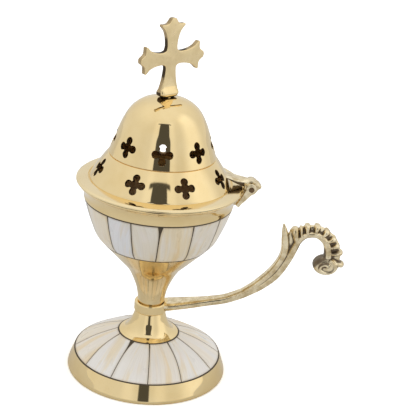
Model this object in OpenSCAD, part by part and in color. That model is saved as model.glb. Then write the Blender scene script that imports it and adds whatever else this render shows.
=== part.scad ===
// Footed hand censer of turned brass, with two fields of mother-of-pearl tiles, a cast scroll handle
// and a hinged, pierced lid under a cross. Millimetres, +Z up, origin at the middle of the foot's
// resting face. The handle and the hinge lie along +X, and the front of the pattern faces -Y.

/* [Foot] */
// Diameter of the foot's band at its widest
foot_d = 76; // [75:0.5:78]
// Height of the foot's plain brass band
foot_band_h = 8.6; // [8.2:0.1:9]
// Diameter of the foot's inlay at its outer edge
foot_field_d = 70.4; // [69.4:0.2:71]
// How far the foot's inlay swells out of a straight cone
foot_field_swell = 0.8; // [0.2:0.1:1.2]
// Diameter of the neck's flared base, where the inlay ends
neck_base_d = 28.2; // [27:0.2:29.4]
// Height of the neck's flared base
neck_base_z = 19.2; // [18.8:0.1:19.8]
// Narrowest diameter of the neck
neck_d = 14.6; // [13.8:0.1:15.2]
// Height of the neck's top face, which carries the handle's ring
neck_top_z = 30; // [29.5:0.1:30.5]
// Thickness of the foot's wall under the inlay
foot_wall = 1.8; // [1.5:0.1:2.2]

/* [Bowl] */
// Diameter of the stem above the handle's ring
stem_d = 12.9; // [12.4:0.1:13.6]
// Diameter of the bowl's inlay at its lower edge
bowl_field_low_d = 50.2; // [49.6:0.2:51]
// Height of the bowl's inlay at its lower edge
bowl_field_low_z = 66.1; // [65.6:0.1:66.6]
// Diameter of the bowl's inlay at its upper edge
bowl_field_top_d = 69.2; // [68.8:0.2:69.8]
// Height of the bowl's inlay at its upper edge
bowl_field_top_z = 87.6; // [87.2:0.1:88]
// Diameter of the flared lip
lip_d = 75.6; // [75:0.2:76.2]
// Height of the lip's top face
lip_z = 95; // [94.6:0.1:95.4]
// Thickness of the bowl's wall behind the inlay
bowl_wall = 1.8; // [1.5:0.1:2.1]
// Height of the bowl's floor
bowl_floor_z = 58; // [57:0.5:58.5]

/* [Inlay] */
// Tiles round the foot
foot_tiles = 12; // [8:1:16]
// Tiles round the bowl
bowl_tiles = 14; // [10:1:18]
// Thickness of a tile
tile_t = 1.2; // [0.9:0.1:1.4]
// Thickness of the resin bed behind the tiles
bed_t = 0.4; // [0.3:0.1:0.6]
// Width of the resin line round a tile
seam_w = 0.5; // [0.3:0.1:0.8]

/* [Lid] */
// Diameter of the lid's flange
flange_d = 77; // [76.4:0.2:77.4]
// Thickness of the flange at its edge
flange_t = 1.4; // [1.2:0.1:1.6]
// Diameter of the skirt where it leaves the flange
skirt_d = 65; // [64.6:0.2:65.4]
// How far the skirt swells out of a straight cone
skirt_swell = 0.2; // [0.1:0.1:0.3]
// Diameter of the dome at its foot
dome_d = 49.4; // [48.8:0.2:49.8]
// Height of the dome's foot, where a line is scored
dome_z = 109; // [108.6:0.1:109.4]
// Height of the dome's flat top, which carries the cross
dome_top_z = 136; // [135.6:0.1:136.4]
// Diameter of the dome's flat top
dome_top_d = 9; // [8:0.5:10]
// Thickness of the lid's wall
lid_wall = 1.4; // [1.2:0.1:1.6]
// Gap between the closed lid and the lip
lid_gap = 0.15; // [0.1:0.05:0.2]

/* [Vents] */
// Vents round the dome
dome_vents = 8; // [6:1:10]
// Vents on each side of the front of the skirt
skirt_vents = 3; // [2:1:3]
// Angle between neighbouring vents of the skirt
skirt_vent_pitch = 45; // [42:1:46]
// How far the skirt's vents on the side away from the hinge have strayed
skirt_vent_stray = 6.5; // [0:0.5:8]
// Height of the middle of the dome's vents
dome_vent_z = 116; // [115:0.5:118]
// Height of the middle of the skirt's vents
skirt_vent_z = 103; // [102.5:0.1:103.5]
// Diameter of a vent's round lobe
vent_lobe_d = 3.4; // [2.8:0.1:3.6]
// Diameter of a vent's middle
vent_core_d = 4.2; // [3.8:0.1:4.6]
// Distance from a vent's middle to the middle of a lobe
vent_reach = 3; // [2.6:0.1:3.2]

/* [Cross] */
// Nominal length of an arm from the middle of the cross
cross_arm = 16.5; // [15.5:0.5:18]
// Thickness of the cross
cross_t = 3; // [2.6:0.1:3.6]
// Width of an arm at its waist
cross_waist = 5.6; // [5.2:0.1:6]
// Width of an arm across its two shoulders
cross_shoulders = 12.2; // [11.6:0.1:12.8]
// Thickness of the cross's base at its thickest
cross_base_t = 5.6; // [4.6:0.1:6]
// Angle of the cross from the line of the handle
cross_turn = 40.5; // [0:0.5:90]
// Diameter of the stud under the cross
stud_d = 3.8; // [3:0.1:4]

/* [Hinge] */
// Distance of the hinge pin from the censer's axis
pin_x = 41.7; // [41.5:0.1:42]
// Height of the hinge pin
pin_z = 97; // [96.8:0.1:97.2]
// Diameter of the hinge pin
pin_d = 2.6; // [2.4:0.1:2.8]
// Diameter of the bracket's ears
ear_d = 4.8; // [4.6:0.1:5]
// Thickness of one ear
ear_t = 2.6; // [2.2:0.1:2.8]
// Width of the knuckle between the ears
knuckle_w = 6; // [5:0.2:6.4]
// Diameter of the knuckle
knuckle_d = 6.6; // [6.2:0.1:6.8]
// Thickness of the bracket's strap
strap_t = 1.6; // [1.4:0.1:1.8]

/* [Handle] */
// Diameter of the handle's ring
ring_d = 15.6; // [15:0.1:16]
// Height of the handle's ring
ring_h = 5; // [4.8:0.1:5]
// Width of a leaf on the crest of the scroll
leaf_w = 6.8; // [6:0.2:7.2]
// Thickness of the web between the leaves
web_t = 3; // [2.4:0.2:3.6]

/* [Cup] */
// Diameter of the charcoal cup's flange
cup_flange_d = 64.4; // [63:0.2:64.8]
// Thickness of the charcoal cup's wall
cup_t = 0.9; // [0.7:0.1:1.1]
// Height of the ledge in the bowl that carries the cup
ledge_z = 90; // [89.5:0.1:90.5]

/* [Fixings] */
// Diameter of the bolt that ties bowl, handle and foot together
bolt_d = 5; // [4:0.5:5]
// Diameter of the bolt's head
bolt_head_d = 9; // [8:0.5:10]
// Height of the bolt's head
bolt_head_h = 2; // [1.6:0.1:2.2]
// Diameter of the washer under the foot
washer_d = 11; // [10:0.5:12]
// Thickness of the washer
washer_t = 1; // [0.8:0.1:1.2]
// Height of the nuts
nut_h = 3.2; // [2.6:0.1:3.6]

/* [Hidden] */
$fn = 96;
brass = [0.86, 0.72, 0.42];
cast_brass = [0.74, 0.61, 0.36];
pearl = [0.92, 0.9, 0.86];
setting_resin = [0.27, 0.23, 0.2];
steel = [0.72, 0.72, 0.74];

// Direction of the front of the pattern, measured from +X
front = -90;
// Play between a turning pin and its bore, and between pieces that pass each other
running_play = 0.06;
side_play = 0.2;
bolt_play = 0.1;
inlay_t = tile_t + bed_t;

// Smooth curve through the stations of p, in any number of dimensions, with steps pieces to a span
function lead_in(p, i) = i == 0 ? 2 * p[0] - p[1] : p[i - 1];
function lead_out(p, i) = i + 2 < len(p) ? p[i + 2] : 2 * p[i + 1] - p[i];
function span_point(a, b, c, d, t) =
    b + t * (c - a) / 2 + t * t * (2 * a - 5 * b + 4 * c - d) / 2 + t * t * t * (3 * b - a - 3 * c + d) / 2;
function smooth(p, steps = 4) = [
    for (i = [0 : len(p) - 2])
        for (k = [0 : steps - 1])
            span_point(lead_in(p, i), p[i], p[i + 1], lead_out(p, i), k / steps),
    p[len(p) - 1]
];

// The same line moved sideways: a positive distance is to the right of the way it runs
function right_of(v) = [v.y, -v.x] / norm(v);
function heading(p, i) = p[min(i + 1, len(p) - 1)] - p[max(i - 1, 0)];
function shifted(p, distance) = [for (i = [0 : len(p) - 1]) p[i] + distance * right_of(heading(p, i))];
function reversed(p) = [for (i = [len(p) - 1 : -1 : 0]) p[i]];

// The same line with both ends cut back
function step_from(a, b, distance) = a + distance * (b - a) / norm(b - a);
function cut_back(p, distance) = let (n = len(p) - 1) [
    step_from(p[0], p[1], distance),
    for (i = [1 : n - 1]) p[i],
    step_from(p[n], p[n - 1], distance)
];

// Outlines of the turned pieces, as [radius, height], from the bottom up
foot_edge = [foot_field_d / 2, foot_band_h];
neck_edge = [neck_base_d / 2, neck_base_z];
foot_field = smooth([
    foot_edge,
    (foot_edge + neck_edge) / 2 + foot_field_swell * right_of(neck_edge - foot_edge),
    neck_edge
]);
foot_band = concat(
    [[foot_d / 2 - 0.3, 0], [foot_d / 2, 0.6]],
    smooth([[foot_d / 2 - 0.15, 1.4], [foot_d / 2 - 1.4, 5], foot_edge], 3)
);
neck_flare = (neck_base_d - neck_d) / 2;
neck_rise = neck_top_z - neck_base_z;
neck = smooth([for (f = [[1, 0], [0.69, 0.075], [0.4, 0.26], [0.15, 0.54], [0, 0.9], [0, 1]])
    [neck_d / 2 + f[0] * neck_flare, neck_base_z + f[1] * neck_rise]], 3);

stem_z = neck_top_z + ring_h;
bowl_low = [bowl_field_low_d / 2, bowl_field_low_z];
bowl_top = [bowl_field_top_d / 2, bowl_field_top_z];
stem = smooth([[stem_d / 2, stem_z], [stem_d / 2 + 0.2, 38.4], [8.1, 44], [12, 52], [17.4, 58], bowl_low], 3);
bowl_field = smooth([bowl_low, [28.3, 70], [30.9, 76], [33, 82], bowl_top], 3);
rim = smooth([bowl_top, [34.8, 90], [36.2, 92.8], [lip_d / 2 - 0.2, lip_z - 0.5], [lip_d / 2, lip_z]], 3);

seat_z = lip_z + lid_gap;
skirt_z = seat_z + flange_t + 0.6;
flange = smooth([
    [flange_d / 2 - 0.4, seat_z],
    [flange_d / 2, seat_z + 0.4 * flange_t],
    [flange_d / 2 - 0.7, seat_z + flange_t]
], 3);
skirt_foot = [skirt_d / 2, skirt_z];
skirt_top = [dome_d / 2, dome_z];
skirt = smooth([
    skirt_foot,
    (skirt_foot + skirt_top) / 2 + skirt_swell * right_of(skirt_top - skirt_foot),
    skirt_top
]);
score = [dome_d / 2 - 0.5, dome_z + 0.15];
dome = smooth([
    [dome_d / 2 - 0.25, dome_z + 0.4],
    [22.1, 116],
    [19.2, 124],
    [15.8, 130],
    [10.9, 134],
    [dome_top_d / 2, dome_top_z]
], 3);

// The cup's bowl, from its flange down to the middle of its floor
cup_outer = smooth([[29.6, ledge_z], [28.6, 83], [25.6, 75.5], [20.4, 69], [12, 65.6], [0, 65.4]], 3);
cup_flange_t = 1;
cup_gap = 0.1;

// Heights of the fixings under the foot
washer_seat_z = shifted(foot_field, -inlay_t - foot_wall)[len(foot_field) - 1].y;
bolt_tip_z = washer_seat_z - washer_t - nut_h - 2;

// Middle of the cross, above its base
cross_z = dome_top_z + cross_arm + 0.8;

// The bracket's strap runs from the pin down to the foot of the rim
strap_end = [35.9, 88.4];
strap_dir = strap_end - [pin_x, pin_z];
strap_angle = atan2(strap_dir.y, strap_dir.x);
web_start = 4;
hinge_w = knuckle_w + 2 * side_play + 2 * ear_t;

// The tiles were fitted by hand: how far each seam strays, in degrees, at its lower and at its upper end
foot_seams = [
    [2, 4], [0, 9], [2, 9], [2, 5], [1, 1], [0, 0],
    [0, 0], [0, 0], [0, 0], [2, 0], [6, -6], [3, 1]
];
bowl_seams = [
    [2, 3], [6, 3], [7, 3.5], [5, 4], [3, 3], [2, 2], [1, 1],
    [0, 0], [0, 1], [2, 2], [4, 5], [7, 8], [9, 12], [6, 7]
];

function tile_name(field, i) = str(field, "_tile_", i < 10 ? "0" : "", i);

// Turned foot: band, recess for the inlay, trumpet neck, and a hollow underside
module foot() color(brass) {
    band_inner_r = foot_d / 2 - 3.6;
    bore_r = bolt_d / 2 + bolt_play;
    rotate_extrude() polygon(concat(
        [[band_inner_r, 0]],
        foot_band,
        shifted(foot_field, -inlay_t),
        neck,
        [[bore_r, neck_top_z], [bore_r, washer_seat_z]],
        reversed(shifted(foot_field, -inlay_t - foot_wall))
    ));
}

// Angles of both ends of the seam in front of tile i
function seam_angles(tiles, strays, i) = let (s = strays[(i - 1) % len(strays)])
    [front + (i - 1) * 360 / tiles + s[0], front + (i - 1) * 360 / tiles + s[1]];

// Everything on one side of a seam: the near face stands square to the field, along the leaning seam
module beyond_seam(field, angles, side) {
    low = field[0];
    top = field[len(field) - 1];
    middle = (angles[0] + angles[1]) / 2;
    from = [low.x * cos(angles[0]), low.x * sin(angles[0]), low.y];
    to = [top.x * cos(angles[1]), top.x * sin(angles[1]), top.y];
    along = (to - from) / norm(to - from);
    out = right_of(top - low);
    square_to = cross(along, [out.x * cos(middle), out.x * sin(middle), out.y]);
    aside = side * square_to / norm(square_to);
    up = cross(along, aside);
    multmatrix([for (k = [0 : 2]) [along[k], aside[k], up[k], from[k]]])
        translate([-20, -seam_w / 2, -20]) cube([70, 60, 40]);
}

// One tile of a field, between its two seams: proud is how far it stands out of the field's surface
module tile(field, tiles, strays, i, proud = 0) {
    start = seam_angles(tiles, strays, i);
    end = seam_angles(tiles, strays, i % tiles + 1) + (i == tiles ? [360, 360] : [0, 0]);
    inner = shifted(cut_back(field, seam_w), -tile_t);
    outer = shifted(cut_back(field, seam_w), proud);
    spare = 6;
    difference() {
        rotate(min(start) - spare) rotate_extrude(angle = max(end) - min(start) + 2 * spare)
            polygon(concat(outer, reversed(inner)));
        beyond_seam(field, start, -1);
        beyond_seam(field, end, 1);
    }
}

// Ring of setting resin in a recess, with a pocket for every tile
module resin_ring(field, tiles, strays) difference() {
    rotate_extrude() polygon(concat(field, reversed(shifted(field, -inlay_t))));
    for (i = [1 : tiles]) tile(field, tiles, strays, i, 1);
}

module foot_resin() color(setting_resin) resin_ring(foot_field, foot_tiles, foot_seams);
module foot_tile(i) color(pearl) tile(foot_field, foot_tiles, foot_seams, i);
module bowl_resin() color(setting_resin) resin_ring(bowl_field, bowl_tiles, bowl_seams);
module bowl_tile(i) color(pearl) tile(bowl_field, bowl_tiles, bowl_seams, i);

// Turned bowl: stem, recess for the inlay, flared rim with a ledge for the cup, and the bolt's bore
module bowl() color(brass) {
    bore_r = bolt_d / 2 + bolt_play;
    rim_inner_r = cup_flange_d / 2 + 0.5;
    rotate_extrude() polygon(concat(
        [[bore_r, stem_z]],
        stem,
        shifted(bowl_field, -inlay_t),
        rim,
        [[rim_inner_r, lip_z], [rim_inner_r, ledge_z]],
        reversed(shifted(bowl_field, -inlay_t - bowl_wall)),
        [[18, 62.6], [14, 59.6], [9, bowl_floor_z], [bore_r, bowl_floor_z]]
    ));
}

// The bowl's outside as one solid, for seating what is fixed on it
module bowl_outside() {
    rotate_extrude() polygon(concat([[0, stem_z]], stem, bowl_field, rim, [[0, lip_z]]));
}

// Slotted bolt from the bowl's floor down through stem, ring and neck
module tie_bolt() color(steel) {
    slot_w = 1.2;
    difference() {
        union() {
            translate([0, 0, bolt_tip_z]) cylinder(d = bolt_d, h = bowl_floor_z - bolt_tip_z);
            translate([0, 0, bowl_floor_z]) cylinder(d = bolt_head_d, h = bolt_head_h);
        }
        translate([-bolt_head_d, -slot_w / 2, bowl_floor_z + bolt_head_h / 2])
            cube([2 * bolt_head_d, slot_w, bolt_head_h]);
    }
}

module tie_washer() color(steel)
    translate([0, 0, washer_seat_z - washer_t]) difference() {
        cylinder(d = washer_d, h = washer_t);
        translate([0, 0, -1]) cylinder(d = bolt_d + 2 * bolt_play, h = washer_t + 2);
    }

// Hexagon nut on a stud or bolt of diameter d
module nut(across_corners, d) difference() {
    cylinder(d = across_corners, h = nut_h, $fn = 6);
    translate([0, 0, -1]) cylinder(d = d, h = nut_h + 2);
}

module tie_nut() color(steel)
    translate([0, 0, washer_seat_z - washer_t - nut_h]) nut(9.2, bolt_d);

// Spun cup that hangs by its flange on the ledge in the bowl
module charcoal_cup() color(brass)
    translate([0, 0, cup_gap]) rotate_extrude() polygon(concat(
        [[cup_flange_d / 2, ledge_z + cup_flange_t], [cup_flange_d / 2, ledge_z]],
        cup_outer,
        [[0, cup_outer[len(cup_outer) - 1].y + cup_t]],
        [for (q = reversed(shifted(cup_outer, cup_t))) if (q.x > 1 && q.y < ledge_z - 1) q],
        [[cup_outer[0].x - cup_t, ledge_z + cup_flange_t]]
    ));

// Things laid out in the plane of the handle, drawn as [x, z] and given a width along Y
module across(width) rotate([90, 0, 0]) linear_extrude(height = width, center = true) children();

// Straight bar in that plane, from a point along an angle
module bar(from, angle, length, thickness)
    translate(from) rotate(angle) translate([0, -thickness / 2]) square([length, thickness]);

module pin_bore(d) translate([pin_x, 0, pin_z]) rotate([90, 0, 0]) cylinder(d = d, h = 40, center = true);

// Slanting strap on the rim, split at its upper end into two ears round the pin
module hinge_bracket() color(cast_brass) {
    pin = [pin_x, pin_z];
    length = norm(strap_dir);
    ear_y = (knuckle_w + ear_t) / 2 + side_play;
    root = 0.35 * ear_d * right_of(strap_dir);
    tip = strap_t / 2 * right_of(strap_dir);
    difference() {
        union() {
            for (s = [-1, 1]) translate([0, s * ear_y, 0]) across(ear_t) {
                translate(pin) circle(d = ear_d);
                polygon([pin - root, strap_end - tip, strap_end + tip, pin + root]);
            }
            across(hinge_w) {
                bar(pin + web_start * strap_dir / length, strap_angle, length - web_start, strap_t);
                polygon([[33, 88], [strap_end.x, 88], [strap_end.x + 1.4, 90.4], [33, 91.4]]);
            }
        }
        pin_bore(pin_d);
        bowl_outside();
    }
}

// Pin pressed into both ears, with its ends just proud of them
module hinge_pin() color(cast_brass)
    translate([pin_x, 0, pin_z]) rotate([90, 0, 0])
        cylinder(d = pin_d, h = hinge_w + 0.6, center = true);

// Cross-shaped vent: a round middle and four round lobes
module vent_outline() {
    circle(d = vent_core_d);
    for (a = [0 : 90 : 270]) rotate(a) translate([vent_reach, 0]) circle(d = vent_lobe_d);
}

// Cutter for one vent, square to a wall of radius r that leans back by the angle lean
module vent(azimuth, r, z, lean)
    rotate(azimuth) translate([r, 0, z]) rotate([0, 90 - lean, 0])
        linear_extrude(height = 8 * lid_wall, center = true) vent_outline();

// Radius and lean of an outline at a height
function crossing(p, z) = [for (i = [0 : len(p) - 2]) if (p[i].y <= z && p[i + 1].y > z) i][0];
function radius_at(p, z) = let (i = crossing(p, z))
    p[i].x + (p[i + 1].x - p[i].x) * (z - p[i].y) / (p[i + 1].y - p[i].y);
function lean_at(p, z) = let (i = crossing(p, z), d = p[i + 1] - p[i]) atan2(-d.x, d.y);

// Spun lid: flange, skirt and bell dome, pierced by two staggered rows of vents
module lid() color(brass) {
    bore_r = stud_d / 2 + bolt_play;
    inside = shifted(concat(skirt, dome), -lid_wall);
    difference() {
        rotate_extrude() polygon(concat(
            flange,
            skirt,
            [score],
            dome,
            [[bore_r, dome_top_z], [bore_r, dome_top_z - lid_wall]],
            reversed(inside),
            [[inside[0].x, seat_z]]
        ));
        for (k = [0 : dome_vents - 1])
            vent(front + k * 360 / dome_vents, radius_at(dome, dome_vent_z), dome_vent_z,
                lean_at(dome, dome_vent_z));
        for (a = skirt_vent_angles())
            vent(front + a, radius_at(skirt, skirt_vent_z), skirt_vent_z, lean_at(skirt, skirt_vent_z));
    }
}

// The skirt's vents stand between the dome's at the front, with a single one at the back
function skirt_vent_angles() = [
    for (k = [1 : skirt_vents]) (k - 0.5) * skirt_vent_pitch,
    for (k = [1 : skirt_vents]) (0.5 - k) * skirt_vent_pitch - (k > 1 ? skirt_vent_stray : 0),
    180
];

// Cast leaf from the skirt to the pin: its nose meets the bracket's web when the lid is fully open
module hinge_leaf() color(cast_brass) {
    crown_r = 6.5;
    crown_dip = 7;
    top = smooth([[28.4, 101.9], [33, 101.2], [38, 100.6], [42, 100.3], [45, 98.8], [46.3, 97]], 4);
    flank = concat(
        smooth([[27, 3.4], [31, 4.1], [35, 4.2], [37.6, 3.4], [39.2, knuckle_w / 2]], 4),
        [[45.2, knuckle_w / 2], [47, 2]]
    );
    difference() {
        intersection() {
            union() {
                across(10)
                    polygon(concat(top, [[46.1, 96], [44.2, 95.4], [38.6, 96.8], [36.8, 97.4], [29.4, 101]]));
                across(knuckle_w) translate([pin_x, pin_z]) circle(d = knuckle_d);
            }
            linear_extrude(height = 120) polygon(concat(flank, [for (q = reversed(flank)) [q.x, -q.y]]));
            translate([28.4, 0, top[0].y - crown_r]) rotate([0, 90 + crown_dip, 0])
                cylinder(r = crown_r, h = 60, center = true);
        }
        pin_bore(pin_d + 2 * running_play);
        rotate(90) rotate_extrude() polygon(concat([[0, skirt_z]], skirt, [[0, dome_z]]));
    }
}

// Half of a flared arm's outline: from the rounded crotch of the cross to a shoulder, and on to the tip
arm_flank = smooth([
    [cross_waist / 2 + 0.6, cross_waist / 2 + 0.6],
    [cross_waist / 2 + 0.15, cross_waist / 2 + 1.5],
    [cross_waist / 2, 0.35 * cross_arm],
    [cross_waist / 2 + 0.4, 0.52 * cross_arm],
    [cross_shoulders / 2 - 1.9, 0.68 * cross_arm],
    [cross_shoulders / 2 - 0.2, 0.785 * cross_arm]
], 3);
arm_end = smooth([
    [cross_shoulders / 2, 0.815 * cross_arm],
    [cross_shoulders / 2 - 0.4, 0.85 * cross_arm],
    [4.2, 0.85 * cross_arm],
    [2.8, 0.865 * cross_arm],
    [1.9, 0.92 * cross_arm],
    [1.1, 0.98 * cross_arm],
    [0, cross_arm]
], 2);
arm_half = concat(arm_flank, arm_end);
// The casting is uneven: angle and stretch of the left, the upper and the right arm
cross_arms = [[90, 1.06], [0, 1.17], [-90, 1.18]];
function stretched(p, k) = [for (q = p) [q.x, p[0].y + k * (q.y - p[0].y)]];

// Half of the lower arm, which swells into the rounded base, seen from the front
base_half = smooth([
    [cross_waist / 2 + 0.6, cross_waist / 2 + 0.6],
    [cross_waist / 2 + 0.15, cross_waist / 2 + 1.5],
    [cross_waist / 2 + 0.15, 0.35 * cross_arm],
    [cross_waist / 2 + 0.6, 0.56 * cross_arm],
    [4.2, 0.75 * cross_arm],
    [5, 0.89 * cross_arm],
    [5.2, 0.975 * cross_arm],
    [4.6, cross_arm + 0.8]
], 3);
// Half of the base seen from the side
base_side = smooth([
    [cross_t / 2, 0.74 * cross_arm],
    [cross_t / 2 + 0.1, 0.8 * cross_arm],
    [cross_base_t / 2 - 0.5, 0.89 * cross_arm],
    [cross_base_t / 2, 0.975 * cross_arm],
    [cross_base_t / 2 - 0.45, cross_arm + 0.8]
], 3);

function mirrored(p) = concat(p, [for (q = reversed(p)) [-q.x, q.y]]);

// Flat cast cross, turned on its stud, with a base that swells to the front and back as well
module cross_finial() color(cast_brass) {
    stud_l = nut_h + lid_wall + 1.4;
    translate([0, 0, cross_z]) rotate(cross_turn) {
        across(cross_t) {
            square(cross_waist + 1.22, center = true);
            for (arm = cross_arms) rotate(arm[0]) polygon(mirrored(stretched(arm_half, arm[1])));
            rotate(180) polygon(mirrored(base_half));
        }
        intersection() {
            across(cross_base_t) rotate(180) polygon(mirrored(base_half));
            rotate([90, 0, 90]) linear_extrude(height = 40, center = true)
                rotate(180) polygon(mirrored(base_side));
        }
    }
    translate([0, 0, dome_top_z - stud_l]) cylinder(d = stud_d, h = stud_l + 2);
}

module finial_nut() color(steel)
    translate([0, 0, dome_top_z - lid_wall - nut_h]) nut(8, stud_d);

// Stations of the handle's strands, as [x, z, half depth inside, half depth outside, half width]. Inside is
// the right of the way a strand runs: the under side of the arm and the hollow side of the curl.
arm = [
    [4.6, 32.8, 2, 2, 4.4],
    [9, 33.6, 2, 2, 5.2],
    [17, 34.9, 1.9, 1.9, 4.4],
    [27, 36.8, 1.8, 1.8, 3.2],
    [36, 39, 1.9, 1.9, 2.8],
    [46, 44, 2.1, 2.1, 2.7],
    [52, 49.4, 1.8, 1.8, 2.2],
    [55, 52.6, 0.8, 0.8, 1.2]
];
// The inner strand leaves the arm and runs on into the curl, down to the scroll's end
curl = [
    [39, 40, 0.7, 0.8, 1.3],
    [44, 42.3, 1.3, 1.8, 2.4],
    [50.2, 46, 1.7, 2.1, 2.6],
    [57.6, 53, 1.9, 2.3, 2.8],
    [62.4, 61.2, 1.8, 2.2, 2.8],
    [64.8, 67.4, 1.8, 1.9, 2.9],
    [66.4, 71.8, 1.8, 1.7, 3],
    [69, 74.8, 1.8, 1.6, 3.1],
    [72.1, 75.8, 1.8, 1.6, 3.2],
    [75.1, 75.6, 1.8, 1.6, 3.2],
    [78.2, 73.6, 1.8, 1.7, 3.2],
    [80.2, 70.6, 1.8, 1.8, 3.2],
    [81, 66.4, 1.9, 2, 3.2],
    [81, 62.4, 2.2, 2.2, 3]
];
// The outer strand ends in a free thorn
thorn = [
    [39, 40.7, 0.7, 0.7, 1.3],
    [44, 44, 1.7, 1.3, 2.3],
    [48.6, 47.6, 2, 1.4, 2.5],
    [55.2, 54.6, 2.2, 1.6, 2.6],
    [59.3, 61.6, 2.2, 1.6, 2.5],
    [60.6, 67, 2, 1.8, 2.4],
    [60.3, 72, 1.8, 1.8, 2],
    [59.5, 76, 1.4, 1.2, 1.5],
    [59, 78.6, 0.7, 0.6, 0.8],
    [58.8, 79.7, 0.2, 0.2, 0.25]
];
// Web outside the curl, from which the leaves stand up: [x, z, rise]
web = [
    [66, 70.8, 3.4], [69, 74.8, 4.3], [72.1, 75.8, 4.1], [75.1, 75.6, 4.2],
    [78.2, 73.6, 4.6], [80.2, 70.6, 5.4], [81, 66.4, 6.2], [81, 62.4, 5.8]
];
// Thin wall in the fork between thorn and crest
fork = [
    [62.4, 64, 0.9, 0.9, 1.1],
    [63.1, 69, 1.7, 1.6, 1.4],
    [63, 73.5, 1.5, 1.5, 1.3],
    [62.7, 77, 0.8, 0.7, 0.9]
];
// Leaves of the crest: root, tip and half thickness
leaves = [
    [[65.8, 70.6], [64, 78.4], 1.65],
    [[67.6, 73.2], [67, 79], 0.75],
    [[70, 75], [69.9, 80.5], 1.25],
    [[73.6, 75.6], [74.9, 80.7], 1.35],
    [[76.9, 74.8], [80.2, 78.3], 1.4],
    [[79.2, 72.4], [84, 74.6], 1.35],
    [[80.4, 69.6], [86.1, 71], 1.1],
    [[81.2, 66.8], [88, 67.4], 1.15],
    [[81.8, 63.2], [89.2, 60.9], 1.3]
];
// How a leaf's thickness and width change on the way from its root to its tip
leaf_shape = [
    [-0.1, 0.7, 0.76], [0.2, 0.85, 0.94], [0.5, 1, 1], [0.75, 1.15, 0.9], [0.92, 1, 0.66], [1, 0.45, 0.3]
];
// Middle of the rounded disc that ends the scroll, and its half length, half height and half width
scroll_end = [80.6, 60.4];
scroll_half = [6.1, 4.5, 4.5];

function leaf_rows(leaf) = [for (s = leaf_shape) let (at = leaf[0] + s[0] * (leaf[1] - leaf[0]))
    [at.x, at.y, leaf[2] * s[1], leaf[2] * s[1], leaf_w / 2 * s[2]]];
function web_rows() = [for (p = smooth(web, 2)) [p[0], p[1], 0.4, p[2], web_t / 2]];
function disc_rows(steps) = [for (k = [0 : steps]) let (
    a = -80 + 160 * k / steps,
    reach = scroll_half[0] * cos(a)
)
    [scroll_end.x, scroll_end.y - scroll_half[1] * sin(a), reach, reach, scroll_half[2] * pow(cos(a), 0.45)]];

// Closed tube round a row of stations that lie in the plane of the handle
module tube(rows, sides = 16, squareness = 2.3) {
    n = len(rows);
    turn = [for (k = [0 : sides - 1]) 360 * (k + 0.5) / sides];
    rounded = function (v) sign(v) * pow(abs(v), 2 / squareness);
    points = [for (i = [0 : n - 1]) let (
        ahead = rows[min(i + 1, n - 1)],
        behind = rows[max(i - 1, 0)],
        d = [ahead[0] - behind[0], ahead[1] - behind[1]],
        outward = -right_of(d)
    ) for (a = turn) let (
        c = rounded(cos(a)),
        depth = c * (c > 0 ? rows[i][3] : rows[i][2]),
        y = rows[i][4] * rounded(sin(a))
    ) [rows[i][0] + depth * outward.x, y, rows[i][1] + depth * outward.y]];
    walls = [for (i = [0 : n - 2]) for (k = [0 : sides - 1]) let (
        a = i * sides + k,
        b = i * sides + (k + 1) % sides
    ) each [[a, b, a + sides], [b, b + sides, a + sides]]];
    ends = [[for (k = [sides - 1 : -1 : 0]) k], [for (k = [0 : sides - 1]) (n - 1) * sides + k]];
    polyhedron(points, concat(walls, ends));
}

// Cast handle: clamped ring, arm, two strands, thorn, leafed crest and scroll
module handle() color(cast_brass) {
    bore_r = bolt_d / 2 + bolt_play;
    edge = 0.6;
    rotate_extrude() polygon([
        [bore_r, neck_top_z], [ring_d / 2 - edge, neck_top_z], [ring_d / 2, neck_top_z + edge],
        [ring_d / 2, stem_z - edge], [ring_d / 2 - edge, stem_z], [bore_r, stem_z]
    ]);
    tube(smooth(arm, 3));
    tube(smooth(curl, 3));
    tube(smooth(thorn, 3), 12);
    tube(web_rows(), 8, 3);
    tube(smooth(fork, 2), 8, 3);
    for (leaf = leaves) tube(leaf_rows(leaf), 12);
    tube(disc_rows(8), 16, 3);
}

foot();
foot_resin();
for (i = [1 : foot_tiles])
    foot_tile(i);
handle();
bowl();
bowl_resin();
for (i = [1 : bowl_tiles])
    bowl_tile(i);
tie_bolt();
tie_washer();
tie_nut();
charcoal_cup();
hinge_bracket();
hinge_pin();
lid();
hinge_leaf();
cross_finial();
finial_nut();
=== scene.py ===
# %% [markdown]
# # A footed brass censer
# The censer is turned, spun and cast in brass, with two fields of mother-of-pearl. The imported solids
# give every size and place. This lesson dresses them: each piece is modelled again with the fine shape
# that polished metal needs, because a mirror shows every facet of a coarse mesh. Lengths are written in
# millimetres.

import math

import bmesh
import bpy
import numpy as np
from mathutils import Matrix, Vector


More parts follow.
